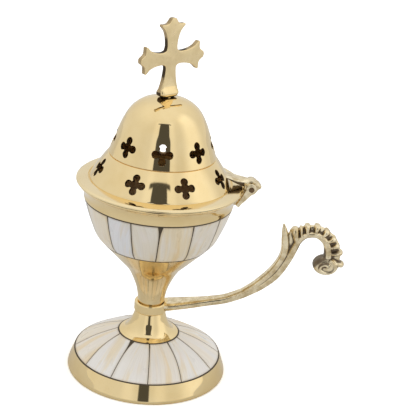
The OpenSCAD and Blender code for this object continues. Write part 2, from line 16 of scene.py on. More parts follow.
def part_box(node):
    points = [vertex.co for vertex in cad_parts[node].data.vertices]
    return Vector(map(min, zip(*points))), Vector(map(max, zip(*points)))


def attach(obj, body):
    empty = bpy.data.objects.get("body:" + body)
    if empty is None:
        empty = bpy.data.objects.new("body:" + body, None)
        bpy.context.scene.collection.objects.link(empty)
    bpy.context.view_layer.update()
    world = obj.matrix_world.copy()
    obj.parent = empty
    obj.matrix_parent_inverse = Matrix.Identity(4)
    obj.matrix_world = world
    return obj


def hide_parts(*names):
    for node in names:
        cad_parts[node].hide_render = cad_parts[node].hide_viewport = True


MM = 0.001
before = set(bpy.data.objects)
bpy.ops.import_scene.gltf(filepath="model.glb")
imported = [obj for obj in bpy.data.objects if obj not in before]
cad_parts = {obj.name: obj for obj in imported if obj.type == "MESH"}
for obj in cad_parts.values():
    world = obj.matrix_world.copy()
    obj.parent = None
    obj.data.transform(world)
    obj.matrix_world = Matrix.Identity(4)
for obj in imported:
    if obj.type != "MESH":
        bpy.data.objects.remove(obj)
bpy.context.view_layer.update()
scene = bpy.context.scene

# %% [markdown]
# ## Camera
# The photograph was taken from close by and from above, a little askew. The camera stands in front of
# the censer, on the side away from +Y. Its place, its turn and its lens were found by laying the rims
# of the lid, the bowl and the foot over the photograph. A roll about the line of sight is easiest to
# give by building the three axes.

# %% Camera
PHOTO_PIXELS = 420
focal_pixels = 1209.1
camera_at = Vector((0, -519.3, 290.8)) * MM
camera_yaw = math.radians(2.639)
camera_pitch = math.radians(21.752)
camera_roll = math.radians(5.509)

forward = Vector((math.sin(camera_yaw) * math.cos(camera_pitch),
                  math.cos(camera_yaw) * math.cos(camera_pitch),
                  -math.sin(camera_pitch)))
level_right = forward.cross(Vector((0, 0, 1))).normalized()
level_up = level_right.cross(forward)
camera_right = level_right * math.cos(camera_roll) + level_up * math.sin(camera_roll)
camera_up = level_up * math.cos(camera_roll) - level_right * math.sin(camera_roll)

lens = bpy.data.cameras.new("camera")
lens.sensor_width = 36
lens.lens = lens.sensor_width * focal_pixels / PHOTO_PIXELS
lens.clip_start = 0.01
camera = bpy.data.objects.new("camera", lens)
turn = Matrix((camera_right, camera_up, -forward)).transposed().to_4x4()
camera.matrix_world = Matrix.Translation(camera_at) @ turn
scene.collection.objects.link(camera)
scene.camera = camera
print("lens:", round(lens.lens, 1), "mm")

# %% [markdown]
# ## Writing node trees as sums
# A shader or a Geometry Nodes tree is a formula drawn with boxes. This class lets the script write the
# formula instead: it wraps one output of a node, and adding or multiplying two of them adds the Math
# node. Every other node comes from its method node().

# %% Sockets with arithmetic
class Socket:
    """One output of a node tree. Arithmetic on it adds Math nodes."""

    def __init__(self, tree, output=None):
        self.tree = tree
        self.output = output

    def node(self, kind, settings=None, sockets=None, output=0):
        """Add a node: first its settings, then the values or links of its sockets."""
        made = self.tree.nodes.new(kind)
        for name, value in (settings or {}).items():
            if name == "stops":
                fill_ramp(made.color_ramp, value)
            else:
                setattr(made, name, value)
        for name, value in (sockets or {}).items():
            if isinstance(value, Socket):
                self.tree.links.new(value.output, made.inputs[name])
            elif value is not None:
                made.inputs[name].default_value = value
        return Socket(self.tree, made.outputs[output]) if made.outputs else None

    def maths(self, operation, *values):
        return self.node("ShaderNodeMath", {"operation": operation}, dict(enumerate(values)))

    def __add__(self, other):
        return self.maths("ADD", self, other)

    def __sub__(self, other):
        return self.maths("SUBTRACT", self, other)

    def __rsub__(self, other):
        return self.maths("SUBTRACT", other, self)

    def __mul__(self, other):
        return self.maths("MULTIPLY", self, other)

    def __truediv__(self, other):
        return self.maths("DIVIDE", self, other)

    def __rtruediv__(self, other):
        return self.maths("DIVIDE", other, self)

    def __pow__(self, other):
        return self.maths("POWER", self, other)

    def __abs__(self):
        return self.maths("ABSOLUTE", self)

    __radd__ = __add__
    __rmul__ = __mul__

    def parts(self):
        """The X, Y and Z of a vector."""
        split = self.node("ShaderNodeSeparateXYZ", None, {0: self}).output.node
        return [Socket(self.tree, out) for out in split.outputs]

    def vector(self, x, y, z):
        return self.node("ShaderNodeCombineXYZ", None, {0: x, 1: y, 2: z})

    def step(self, low, high):
        """A soft step from 0 at low to 1 at high."""
        limits = {"Value": self, "From Min": low, "From Max": high}
        return self.node("ShaderNodeMapRange", {"interpolation_type": "SMOOTHSTEP"}, limits)

    def blend(self, first, second, mode="MIX"):
        """The colour first where this is 0, and second where it is 1."""
        settings = {"data_type": "RGBA", "blend_type": mode}
        return self.node("ShaderNodeMix", settings, {0: self, 6: first, 7: second}, 2)

    def noise(self, scale, detail=3.0, roughness=0.5, distortion=0.0):
        sizes = {"Scale": scale, "Detail": detail, "Roughness": roughness, "Distortion": distortion}
        return self.node("ShaderNodeTexNoise", None, {"Vector": self, **sizes})


def fill_ramp(ramp, stops):
    """Set a stepped colour ramp from a list of (place, colour)."""
    ramp.interpolation = "CONSTANT"
    while len(ramp.elements) < len(stops):
        ramp.elements.new(1.0)
    for element, (place, colour) in zip(ramp.elements, stops):
        element.position = place
        element.color = (*colour, 1)

# %% [markdown]
# ## Studio
# Polished brass has hardly a colour of its own: it shows the room. The room here is a white light tent,
# open on the side where the camera looks in, so a dark strip runs down the front of every turned
# surface. Lamps and sheets could be modelled, but one function of direction is quicker to tune, so the
# tent is the world's own light. Angles are in degrees, and the azimuth is 0 towards the camera and
# grows to the right. A dark bar crosses the top of the opening, and the walls are brightest where the
# lamps stand behind them.

# %% Tent
DEGREES = 180 / math.pi
GAP_LIGHT = 0.085
tent = bpy.data.worlds.new("light tent")
tent.use_nodes = True
tent.node_tree.nodes.clear()
scene.world = tent
scene.view_settings.view_transform = "Standard"

sky = Socket(tent.node_tree)
east, north, height = sky.node("ShaderNodeTexCoord", output="Generated").parts()
azimuth = sky.maths("ARCTAN2", east, 0 - north) * DEGREES
elevation = sky.maths("ARCSINE", height) * DEGREES
rise = sky.maths("ARCTAN2", height, 0 - north) * DEGREES


def between(value, low, high, soft):
    """1 inside a band of directions, with soft edges."""
    return value.step(low - soft, low + soft) * (1 - value.step(high - soft, high + soft))


aside = abs(azimuth)
slit_half = 7.5 + 10.5 * elevation.step(13, 15) - 3 * elevation.step(19, 30)
slit = (1 - (aside - slit_half).step(-1, 1)) * between(elevation, -1, 48, 1)
crossbar = between(rise, 46, 48.6, 0.7) * (1 - aside.step(20, 24))
gap = sky.maths("MAXIMUM", slit, crossbar)

walls = 0.78 + 0.16 * elevation.step(10, 75)
right_box = between(azimuth, 58, 104, 14) * between(elevation, -4, 58, 10)
left_box = between(azimuth, -140, -60, 14) * between(elevation, 0, 60, 10)
edge_glow = between(aside, 15, 30, 6) * between(elevation, 0, 52, 6)
brightness = walls + 0.26 * right_box + 0.03 * left_box + 0.1 * edge_glow
brightness = brightness * (1 - gap) + GAP_LIGHT * gap
white = sky.vector(brightness, brightness, brightness)
shine = sky.node("ShaderNodeBackground", None, {"Color": white})
shine.node("ShaderNodeOutputWorld", None, {"Surface": shine})
print("tent:", len(tent.node_tree.nodes), "nodes")

# %% [markdown]
# The floor is one pale sheet of paper. It looks white to the camera and a little greyer in the brass,
# as a sheet does that is overexposed, so rays that come straight from the camera find it brighter.

# %% Floor
FLOOR_HALF = 4.0
FLOOR_TONE = 0.77
OVEREXPOSURE = 0.8
floor_mesh = bpy.data.meshes.new("floor")
corners = [(x * FLOOR_HALF, y * FLOOR_HALF, 0) for x, y in ((-1, -1), (1, -1), (1, 1), (-1, 1))]
floor_mesh.from_pydata(corners, [], [(0, 1, 2, 3)])
floor = bpy.data.objects.new("floor", floor_mesh)
scene.collection.objects.link(floor)

paper = bpy.data.materials.new("floor paper")
paper.use_nodes = True
paper.node_tree.nodes.clear()
seen = Socket(paper.node_tree).node("ShaderNodeLightPath", output="Is Camera Ray")
tone = FLOOR_TONE + OVEREXPOSURE * seen
sheet = seen.node("ShaderNodeBsdfDiffuse", None, {"Color": seen.vector(tone, tone, tone)})
sheet.node("ShaderNodeOutputMaterial", None, {"Surface": sheet})
floor_mesh.materials.append(paper)
print("floor:", 2 * FLOOR_HALF, "m square")

# %% [markdown]
# ## Finishes
# Each finish is one Principled shader. What is the same all over the surface is a plain number on its
# socket, and only colour, roughness and the bump change from place to place. Patterns are measured on
# the piece itself, so they stay with it when it moves.

# %% Helpers for finishes
def new_finish(name, constants):
    """A material with one Principled shader, and that shader's node."""
    material = bpy.data.materials.new(name)
    material.use_nodes = True
    shader = material.node_tree.nodes["Principled BSDF"]
    for socket, value in constants.items():
        shader.inputs[socket].default_value = value
    return material, Socket(material.node_tree), shader


def feed(start, shader, **wires):
    """Link sockets to the shader, by their names with underscores."""
    for name, wire in wires.items():
        start.tree.links.new(wire.output, shader.inputs[name.replace("_", " ")])


def bumped(height, depth):
    return height.node("ShaderNodeBump", None, {"Height": height, "Distance": depth})

# %% [markdown]
# Turned brass is nearly a mirror, with faint lines that run round the axis. A picture of brushed metal
# would show its seams, so the lines are noise over radius and height. Cast brass is bright where the
# buff reached it and darker in its hollows, and painted shade darkens it under things and in corners.
# How deep a place lies is measured later on each casting, as the attribute hollow, which carries the
# painted shade as well.

# %% Brass
def turned_brass(name, light, deep, roughness):
    """Polished brass from the lathe: faint lines round the axis, and cloudy patches left by the polish."""
    material, start, shader = new_finish(name, {"Metallic": 1.0})
    place = start.node("ShaderNodeTexCoord", output="Object")
    x, y, z = place.parts()
    radius = (x * x + y * y) ** 0.5
    lines = start.vector(radius, 0.0, z).noise(1800, 2)
    clouds = place.noise(70, 3, 0.55)
    colour = clouds.step(0.35, 0.75).blend((*light, 1), (*deep, 1))
    feed(start, shader, Base_Color=colour, Roughness=roughness + 0.035 * clouds * lines,
         Normal=bumped(lines + 6 * clouds, 0.4e-6))
    return material


def cast_brass(name, light, deep, patina_and_shade, roughness, depth=1.0):
    """Cast brass, bright where the buff reached it, darker in hollows and painted shade, and specked by
    small pits.
    """
    material, start, shader = new_finish(name, {"Metallic": 1.0})
    place = start.node("ShaderNodeTexCoord", output="Object")
    hollow = start.node("ShaderNodeAttribute", {"attribute_name": "hollow"}, None, "Fac")
    clouds = place.noise(260, 4, 0.65)
    grain = place.noise(2600, 3)
    specks = place.noise(1100, 3, 0.6).step(0.57, 0.72) * (0.1 + 0.3 * depth)
    # The hollow attribute also holds painted shade, so this mask darkens pits, hollows and painted shade
    # alike.
    dirt_and_shade = start.maths("MAXIMUM", specks, (depth * hollow + 0.35 * (clouds - 0.5)).step(0.12, 0.75))
    colour = dirt_and_shade.blend(clouds.step(0.3, 0.7).blend((*light, 1), (*deep, 1)), (*patina_and_shade, 1))
    feed(start, shader, Base_Color=colour, Roughness=roughness + 0.1 * clouds + 0.3 * dirt_and_shade,
         Normal=bumped(grain + 8 * clouds - 3 * specks, 4e-6))
    return material

# %% [markdown]
# Mother-of-pearl grows in layers. A cut tile shows them as soft bands of cream and grey and as fine
# fibres along its length. Each tile has its own number and its own map, so no band runs on from one
# tile into the next. The resin has stained the rims.

# %% Mother-of-pearl
def mother_of_pearl(name, tints):
    """Polished shell: every tile is cut from another place, with its own tint and its own growth bands."""
    warm_band, grey_band = (0.97, 0.86, 0.64, 1), (0.9, 0.89, 0.89, 1)
    fibre_shade, rosy_cloud, stained_rim = (0.62, 0.54, 0.47, 1), (0.94, 0.87, 0.86, 1), (0.62, 0.53, 0.4, 1)
    material, start, shader = new_finish(name, {"Coat Roughness": 0.08, "Coat Weight": 0.4, "IOR": 1.53})
    tile = start.node("ShaderNodeAttribute", {"attribute_name": "tile"}, None, "Fac")
    across, along, _ = start.node("ShaderNodeUVMap", {"uv_map": "UVMap"}).parts()
    stops = [(i / len(tints), tint) for i, tint in enumerate(tints)]
    tint = start.node("ShaderNodeValToRGB", {"stops": stops}, {"Fac": (tile + 0.5) / len(tints)})
    luck = start.node("ShaderNodeTexWhiteNoise", {"noise_dimensions": "1D"}, {"W": tile})
    bent = across + (luck - 0.5) * along * along * 0.9
    bands = start.vector(bent * 2.6, along * 0.55, tile * 3.7).noise(1.0, 2, 0.5, 0.5)
    fibres = start.vector(bent * 22, along * 1.4, tile * 5.1).noise(1.0, 3, 0.6, 0.3)
    cloud = start.vector(across * 1.5, along * 1.5, tile * 9.3).noise(1.3, 2)
    colour = (bands.step(0.5, 0.68) * 0.85).blend(tint, warm_band, "MULTIPLY")
    colour = ((1 - bands).step(0.52, 0.72) * 0.6).blend(colour, grey_band)
    colour = (fibres.step(0.4, 0.7) * 0.16).blend(colour, fibre_shade, "MULTIPLY")
    colour = (cloud.step(0.5, 0.75) * 0.35).blend(colour, rosy_cloud)
    rim = start.maths("MAXIMUM", abs(across - 0.5).step(0.42, 0.5), abs(along - 0.5).step(0.45, 0.5))
    colour = (rim * 0.45).blend(colour, stained_rim, "MULTIPLY")
    feed(start, shader, Base_Color=colour, Roughness=0.22 + 0.15 * cloud,
         Normal=bumped(fibres + 2 * bands, 2e-6))
    return material

# %% [markdown]
# The setting resin is dark and grainy, and the hidden fasteners are plain steel. The list below gives
# every brass its tones, from the bright dome to the smoked walls of the vents, and every tile its tint,
# beginning with the tile at the front.

# %% Resin, steel and the list of finishes
def setting_resin():
    material, start, shader = new_finish("setting resin", {"Specular IOR Level": 0.25})
    grains = start.node("ShaderNodeTexCoord", output="Object").noise(900, 3)
    colour = grains.blend((0.045, 0.034, 0.022, 1), (0.12, 0.09, 0.056, 1))
    feed(start, shader, Base_Color=colour, Roughness=0.5 + 0.2 * grains)
    return material


def plain_steel():
    material, start, shader = new_finish("plain steel", {"Metallic": 1.0})
    marks = start.node("ShaderNodeTexCoord", output="Object").noise(700, 3)
    colour = marks.blend((0.62, 0.62, 0.63, 1), (0.45, 0.44, 0.43, 1))
    feed(start, shader, Base_Color=colour, Roughness=0.22 + 0.2 * marks, Normal=bumped(marks, 4e-6))
    return material


POLISHED = turned_brass("polished brass", (0.92, 0.73, 0.4), (0.87, 0.67, 0.34), 0.035)
BUFFED = turned_brass("buffed brass", (0.93, 0.77, 0.47), (0.9, 0.73, 0.42), 0.1)
# The stem's darker tone is painted: it stands for the shaded floor near the foot, mirrored in the stem.
SHADED_STEM_BRASS = turned_brass("shaded stem brass", (0.88, 0.71, 0.41), (0.7, 0.53, 0.28), 0.13)
SMOKED = cast_brass("smoked brass", (0.2, 0.13, 0.07), (0.11, 0.07, 0.04), (0.05, 0.035, 0.025), 0.45)
DULL = cast_brass("dull brass", (0.8, 0.6, 0.36), (0.62, 0.45, 0.26), (0.2, 0.13, 0.07), 0.4)
CAST = cast_brass("cast brass", (1.0, 0.88, 0.62), (0.64, 0.5, 0.28), (0.17, 0.13, 0.09), 0.14)
FILED = cast_brass("filed brass", (0.95, 0.77, 0.45), (0.88, 0.7, 0.39), (0.2, 0.13, 0.07), 0.24, 0)
# Darker brass for the sides of the cross; under the base of the cross it is painted shade.
DARK_SIDES = cast_brass("dark side brass", (0.6, 0.45, 0.25), (0.34, 0.25, 0.13), (0.07, 0.05, 0.03), 0.12)
WHITE, IVORY, CREAM = (0.97, 0.94, 0.89), (0.96, 0.89, 0.78), (0.94, 0.84, 0.66)
HONEY, GREY, SILVER, SAND = (0.9, 0.77, 0.54), (0.82, 0.81, 0.78), (0.86, 0.86, 0.87), (0.87, 0.8, 0.67)
foot_tints = [IVORY, WHITE, IVORY, WHITE, CREAM, WHITE, IVORY, WHITE, CREAM, IVORY, WHITE, WHITE]
bowl_tints = [HONEY, SAND, CREAM, IVORY, SILVER, CREAM, GREY, WHITE, HONEY, IVORY, SILVER, CREAM, SILVER,
              SAND]
FOOT_PEARL = mother_of_pearl("foot pearl", foot_tints)
BOWL_PEARL = mother_of_pearl("bowl pearl", bowl_tints)
RESIN = setting_resin()
STEEL = plain_steel()
print("materials, with those of the solids:", len(bpy.data.materials))

# %% [markdown]
# ## Curves and clean meshes
# An outline needs only the few stations that give it its shape. A Catmull-Rom curve runs through them
# as a turner's tool would, and a line can be shifted sideways to give a wall its thickness. Corners are
# eased, because no real edge is perfectly sharp.

# %% Outlines
def smooth(stations, steps=6):
    """Points of a smooth curve through the stations, with steps points to a span."""
    p = np.array(stations, float)
    p = np.vstack([2 * p[0] - p[1], p, 2 * p[-1] - p[-2]])
    t = np.arange(steps)[:, None] / steps
    spans = []
    for a, b, c, d in zip(p, p[1:], p[2:], p[3:]):
        bend = 2 * a - 5 * b + 4 * c - d
        twist = 3 * b - a - 3 * c + d
        spans.append(b + t * (c - a) / 2 + t**2 * bend / 2 + t**3 * twist / 2)
    return np.vstack(spans + [p[-2:-1]])


def shifted(line, distance):
    """The same line moved sideways, to the right of the way it runs."""
    ahead = np.gradient(np.array(line, float), axis=0)
    right = np.stack([ahead[:, 1], -ahead[:, 0]], 1)
    return line + distance * right / np.linalg.norm(right, axis=1, keepdims=True)


def eased(corners, radius, steps=4):
    """An outline with every corner but its two ends rounded off."""
    p = np.array(corners, float)
    line = [p[0]]
    for before, corner, after in zip(p, p[1:], p[2:]):
        back = (before - corner) * min(radius / np.linalg.norm(before - corner), 0.5)
        on = (after - corner) * min(radius / np.linalg.norm(after - corner), 0.5)
        for t in np.linspace(0, 1, steps):
            line.append(corner + (1 - t)**2 * back + t**2 * on)
    return np.array(line + [p[-1]])

# %% [markdown]
# Every piece keeps to the same habits. Its object stays at the origin, its modifiers are made into
# plain mesh, its seams are closed and its faces point outwards. A Boolean cuts or fuses closed shapes.
# One piece may carry several finishes, which are chosen face by face.

# %% Clean meshes
def new_piece(name, points, edges=(), faces=()):
    """A mesh object at the origin from points in millimetres."""
    mesh = bpy.data.meshes.new(name)
    mesh.from_pydata([Vector(p) * MM for p in points], edges, faces)
    piece = bpy.data.objects.new(name, mesh)
    scene.collection.objects.link(piece)
    return piece


def new_outline(name, outline):
    """A row of points in the plane of X and Z from an outline of (radius, height), for a tree to work on."""
    points = [(r, 0, z) for r, z in outline]
    return new_piece(name, points, [(i, i + 1) for i in range(len(points) - 1)])


def plain(piece):
    """Turn what the modifiers make into the piece's own mesh."""
    depsgraph = bpy.context.evaluated_depsgraph_get()
    mesh = bpy.data.meshes.new_from_object(piece.evaluated_get(depsgraph))
    piece.modifiers.clear()
    piece.data = mesh


def tidy(piece, crease=32):
    """Close seams and poles, point the faces outwards and shade smoothly between real edges."""
    work = bmesh.new()
    work.from_mesh(piece.data)
    bmesh.ops.remove_doubles(work, verts=work.verts, dist=2e-7)
    bmesh.ops.recalc_face_normals(work, faces=work.faces)
    work.to_mesh(piece.data)
    work.free()
    piece.data.shade_smooth()
    piece.data.set_sharp_from_angle(angle=math.radians(crease))


def boolean(piece, operation, tool):
    """Cut a closed shape out of a piece (DIFFERENCE) or fuse it to the piece (UNION)."""
    change = piece.modifiers.new("Boolean", "BOOLEAN")
    change.operation = operation
    change.object = tool
    plain(piece)


def dress(piece, finishes, choose):
    """Give a piece its finishes: for every face, choose(centre in millimetres, normal) names one of them."""
    piece.data.materials.clear()
    for finish in finishes:
        piece.data.materials.append(finish)
    for face in piece.data.polygons:
        face.material_index = finishes.index(choose(face.center / MM, face.normal))


def seat(piece, body, slot, *nodes):
    """Let a piece ride on its body and stand for its solids."""
    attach(piece, body)
    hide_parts(*nodes)
    print(piece.name, len(piece.data.polygons), "faces")

# %% [markdown]
# ## Geometry Nodes
# A Geometry Nodes tree is a recipe with open inputs. These helpers start a tree, close it with real
# geometry and a finish, and put it on a piece. Inputs are set by their identifiers, because names need
# not be unique.

# %% Helpers for Geometry Nodes
def geometry_tree(name, inputs):
    """An empty tree, and its inputs as sockets by name."""
    tree = bpy.data.node_groups.new(name, "GeometryNodeTree")
    tree.interface.new_socket("Geometry", in_out="OUTPUT", socket_type="NodeSocketGeometry")
    tree.interface.new_socket("Geometry", in_out="INPUT", socket_type="NodeSocketGeometry")
    for label, kind in inputs.items():
        tree.interface.new_socket(label, in_out="INPUT", socket_type="NodeSocket" + kind)
    entry = tree.nodes.new("NodeGroupInput")
    return tree, {out.name: Socket(tree, out) for out in entry.outputs if out.name}


def end_tree(geometry, finish):
    """Close a tree: no instances are left, and the faces have their finish."""
    whole = geometry.node("GeometryNodeRealizeInstances", None, {"Geometry": geometry})
    done = whole.node("GeometryNodeSetMaterial", None, {"Geometry": whole, "Material": finish})
    done.node("NodeGroupOutput", None, {0: done})


def add_tree(piece, tree, values):
    """Put a tree on a piece and set its inputs by their identifiers."""
    modifier = piece.modifiers.new(tree.name, "NODES")
    modifier.node_group = tree
    for item in tree.interface.items_tree:
        if item.in_out == "INPUT" and item.name in values:
            modifier[item.identifier] = values[item.name]

# %% [markdown]
# ## The lathe
# Foot, bowl, cup and lid are turned or spun, so one tree makes them all. It takes an outline, which is
# a row of points in the plane of X and Z, and lays a grid over it: one way of the grid counts the
# outline's points and the other counts the steps round the axis. Spin from bmesh would do as well, but
# a tree keeps its inputs open.

# %% Lathe tree
def lathe_tree():
    tree, given = geometry_tree("Lathe", {"Segments": "Int", "Finish": "Material"})
    outline = given["Geometry"]
    count = outline.node("GeometryNodeAttributeDomainSize", {"component": "MESH"}, {"Geometry": outline})
    counts = {"Vertices X": given["Segments"] + 1, "Vertices Y": count}
    grid = outline.node("GeometryNodeMeshGrid", None, counts)
    index = outline.node("GeometryNodeInputIndex")
    ring = index.maths("MODULO", index, count)
    around = index.maths("FLOOR", (index + 0.5) / count) / given["Segments"] * (2 * math.pi)
    sample = {"Geometry": outline, "Value": outline.node("GeometryNodeInputPosition"), "Index": ring}
    radius, _, z = outline.node("GeometryNodeSampleIndex", {"data_type": "FLOAT_VECTOR"}, sample).parts()
    place = outline.vector(radius * around.maths("COSINE", around), radius * around.maths("SINE", around), z)
    round_wall = outline.node("GeometryNodeSetPosition", None, {"Geometry": grid, "Position": place})
    merge = {"Geometry": round_wall, "Distance": 1e-7}
    end_tree(outline.node("GeometryNodeMergeByDistance", None, merge), given["Finish"])
    return tree


LATHE = lathe_tree()
print("lathe:", len(LATHE.nodes), "nodes")


def turned(name, outline, finish, segments=192):
    """A turned piece from an outline of (radius, height)."""
    piece = new_outline(name, outline)
    add_tree(piece, LATHE, {"Segments": segments, "Finish": finish})
    plain(piece)
    tidy(piece)
    return piece

# %% [markdown]
# ## Foot and bowl
# The foot has a plain band, a shallow recess for the inlay and a trumpet neck. It is hollow below,
# where the nut of the tie bolt sits. Its outline is put together from the band, the recess, the neck,
# the bore and the underside, and only the underside is left dull.

# %% Foot
TILE_T = 1.2
INLAY_T = 1.6
FIELD_WALL = 1.8
BORE_R = 2.6
NECK_TOP = 30.0
RING_H = 5.0
STEM_FOOT = NECK_TOP + RING_H

foot_band = np.vstack([eased([(34.4, 0), (37.75, 0), (38.0, 0.5), (37.85, 1.4)], 0.3),
                       smooth([(37.85, 1.4), (36.6, 5.0), (35.2, 8.6)])[1:]])
foot_field = smooth([(35.2, 8.6), (25.0, 14.6), (14.1, 19.2)], 16)
neck = smooth([(14.1, 19.2), (11.75, 20.3), (9.95, 22.4), (8.5, 25.4), (7.4, 28.7), (7.05, 29.8)], 10)
foot_under = shifted(foot_field, -INLAY_T - FIELD_WALL)[::-1]
washer_seat = foot_under[0][1]
foot_outline = np.vstack([foot_band, shifted(foot_field, -INLAY_T), neck, [(6.9, NECK_TOP)],
                          [(BORE_R, NECK_TOP), (BORE_R, washer_seat)], foot_under, foot_band[:1]])
foot = turned("turned_foot", foot_outline, POLISHED)


def foot_finish(at, normal):
    underside = normal.z < -0.3 and at.z > 0.4
    return DULL if underside else POLISHED


dress(foot, (POLISHED, DULL), foot_finish)
seat(foot, "base", "turned_brass", "foot")

# %% [markdown]
# The bowl grows out of the stem and ends in a flared lip, with a ledge inside for the charcoal cup. A
# narrow groove parts the stem from the handle's ring. The stem was polished less than the rim, so it is
# rougher, and its darker tone is a painted reflection of the shaded floor near the foot. The inside is dull.

# %% Bowl
STEM_TOP = 66.0
BOWL_FLOOR = 58.0
LEDGE_R = 32.7
LEDGE_Z = 90.0
RIM_Z = 95.0

stem = smooth([(6.4, 35.5), (6.65, 38.4), (8.1, 44), (12, 52), (17.4, 58), (25.1, 66.1)], 8)
bowl_field = smooth([(25.1, 66.1), (28.3, 70), (30.9, 76), (33, 82), (34.6, 87.6)], 10)
rim = smooth([(34.6, 87.6), (34.8, 90), (36.2, 92.8), (37.5, 94.3), (37.8, 94.75)], 8)
lip = eased([(37.8, 94.75), (37.75, RIM_Z), (LEDGE_R, RIM_Z), (LEDGE_R, LEDGE_Z)], 0.25)[1:]
bowl_inside = shifted(bowl_field, -INLAY_T - FIELD_WALL)[::-1]
bowl_floor = smooth([bowl_inside[-1], (18, 62.6), (14, 59.6), (9, BOWL_FLOOR), (BORE_R, BOWL_FLOOR)], 6)[1:]
stem_groove = [(BORE_R, STEM_FOOT), (5.7, STEM_FOOT), (5.7, 35.4)]
bowl_outline = np.vstack([stem_groove, stem, shifted(bowl_field, -INLAY_T), rim, lip, bowl_inside,
                          bowl_floor, stem_groove[:1]])
bowl = turned("turned_bowl", bowl_outline, POLISHED)


def bowl_finish(at, normal):
    field_r = np.interp(at.z, bowl_field[:, 1], bowl_field[:, 0])
    sunk = at.z > BOWL_FLOOR - 0.5 and at.xy.length < field_r - INLAY_T - 0.5
    if sunk and at.x * normal.x + at.y * normal.y < 0:
        return DULL
    # Below the bowl, the stem gets its darker tone of painted reflection.
    return SHADED_STEM_BRASS if at.z < STEM_TOP else POLISHED


dress(bowl, (POLISHED, SHADED_STEM_BRASS, DULL), bowl_finish)
seat(bowl, "base", "turned_brass", "bowl")

# %% [markdown]
# ## Mother-of-pearl inlay
# The tiles are cut by hand, so no two are alike: their seams lean, and some open into a small wedge. A
# list of seams holds the angle of each at its lower and its upper end. One tree bends a small grid onto
# the field between every two seams. The tile's number and its own map of across and along go to the
# shader. Resin fills what the tiles leave.

# %% Inlay tree
def keep(geometry, name, domain, value, kind="FLOAT"):
    """Store a value on the geometry under a name."""
    settings = {"data_type": kind, "domain": domain}
    sockets = {"Geometry": geometry, "Name": name, "Value": value}
    return geometry.node("GeometryNodeStoreNamedAttribute", settings, sockets)


def recall(geometry, name):
    """Read a value that keep() stored."""
    return geometry.node("GeometryNodeInputNamedAttribute", {"data_type": "FLOAT"}, {"Name": name})


TILE_COLUMNS = 15
TILE_ROWS = 25
WEDGE_POWER = 7


def inlay_tree():
    inputs = {"Seams": "Object", "Seam Width": "Float", "End Gap": "Float", "Finish": "Material"}
    tree, given = geometry_tree("Inlay", inputs)
    field = given["Geometry"]
    position = field.node("GeometryNodeInputPosition")
    seams = field.node("GeometryNodeObjectInfo", None, {"Object": given["Seams"]}, "Geometry")
    count = field.node("GeometryNodeAttributeDomainSize", {"component": "MESH"}, {"Geometry": seams})
    counts = {"Vertices X": TILE_COLUMNS, "Vertices Y": TILE_ROWS}
    grid = field.node("GeometryNodeMeshGrid", None, counts)
    local_x, local_y, _ = position.parts()
    flat = keep(grid, "across", "POINT", local_x + 0.5)
    flat = keep(flat, "along", "POINT", local_y + 0.5)
    row = field.node("GeometryNodeMeshLine", None, {"Count": count})
    copies = field.node("GeometryNodeInstanceOnPoints", None, {"Points": row, "Instance": flat})
    copies = keep(copies, "tile", "INSTANCE", field.node("GeometryNodeInputIndex"))
    tiles = field.node("GeometryNodeRealizeInstances", None, {"Geometry": copies})
    across, along, tile = (recall(field, name) for name in ("across", "along", "tile"))

    def seam(number):
        """Angle of a seam at this point's height, and half of its width there."""
        sample = {"Geometry": seams, "Value": position, "Index": number.maths("MODULO", number, count)}
        ends = field.node("GeometryNodeSampleIndex", {"data_type": "FLOAT_VECTOR"}, sample)
        low, high, wedge = ends.parts()
        turns = number.maths("FLOOR", (number + 0.5) / count)
        angle = low * (1 - along) + high * along + turns * (2 * math.pi)
        return angle, given["Seam Width"] / 2 + wedge * along ** WEDGE_POWER

    curve = field.node("GeometryNodeMeshToCurve", None, {0: field})
    trimmed = given["End Gap"] + along * (1 - 2 * given["End Gap"])
    sample = {"Curves": curve, "Factor": trimmed}
    radius, _, z = field.node("GeometryNodeSampleCurve", None, sample, "Position").parts()
    left, left_half = seam(tile)
    right, right_half = seam(tile + 1)
    start = left + left_half / radius
    angle = start + across * (right - right_half / radius - start)
    place = field.vector(radius * angle.maths("COSINE", angle), radius * angle.maths("SINE", angle), z)
    bent = field.node("GeometryNodeSetPosition", None, {"Geometry": tiles, "Position": place})
    end_tree(keep(bent, "UVMap", "CORNER", field.vector(across, along, 0.0), "FLOAT2"), given["Finish"])
    return tree


INLAY = inlay_tree()
print("inlay:", len(INLAY.nodes), "nodes")

# %% [markdown]
# A seam is written as a point: its angle at the lower end, its angle at the upper end and the width of
# its wedge. new_piece() turns millimetres into metres, so an angle is divided by MM first and comes out
# as it was. The seams are spread evenly, then each gets the stray that it shows, and a little luck from
# a fixed seed.

# %% Seams
FRONT = -math.pi / 2
SLIP = 0.6


def seam_points(lean, wedges, seed):
    """Evenly spread seams with the given strays, in degrees, of lower and upper ends, and a little luck."""
    luck = np.random.default_rng(seed)
    pitch = 2 * math.pi / len(lean)
    points = []
    for k, (low, high) in enumerate(lean):
        slip = luck.uniform(-SLIP, SLIP, 2)
        low_angle = FRONT + k * pitch + math.radians(low + slip[0])
        high_angle = FRONT + k * pitch + math.radians(high + slip[1])
        points.append((low_angle / MM, high_angle / MM, wedges.get(k, luck.uniform(0, 0.15))))
    return points


foot_lean = [(2, 4), (0, 9), (2, 9), (2, 5), (1, 1), (0, 0), (0, 0), (0, 0), (0, 0), (2, 0), (6, -6), (3, 1)]
bowl_lean = [(2, 3), (6, 3), (7, 3.5), (5, 4), (3, 3), (2, 2), (1, 1), (0, 0), (0, 1), (2, 2), (4, 5),
             (7, 8), (9, 12), (6, 7)]
foot_seams = seam_points(foot_lean, {11: 1.0, 1: 0.2}, 4)
bowl_seams = seam_points(bowl_lean, {0: 1.0}, 11)
print("seams:", len(foot_seams), "on the foot and", len(bowl_seams), "on the bowl")

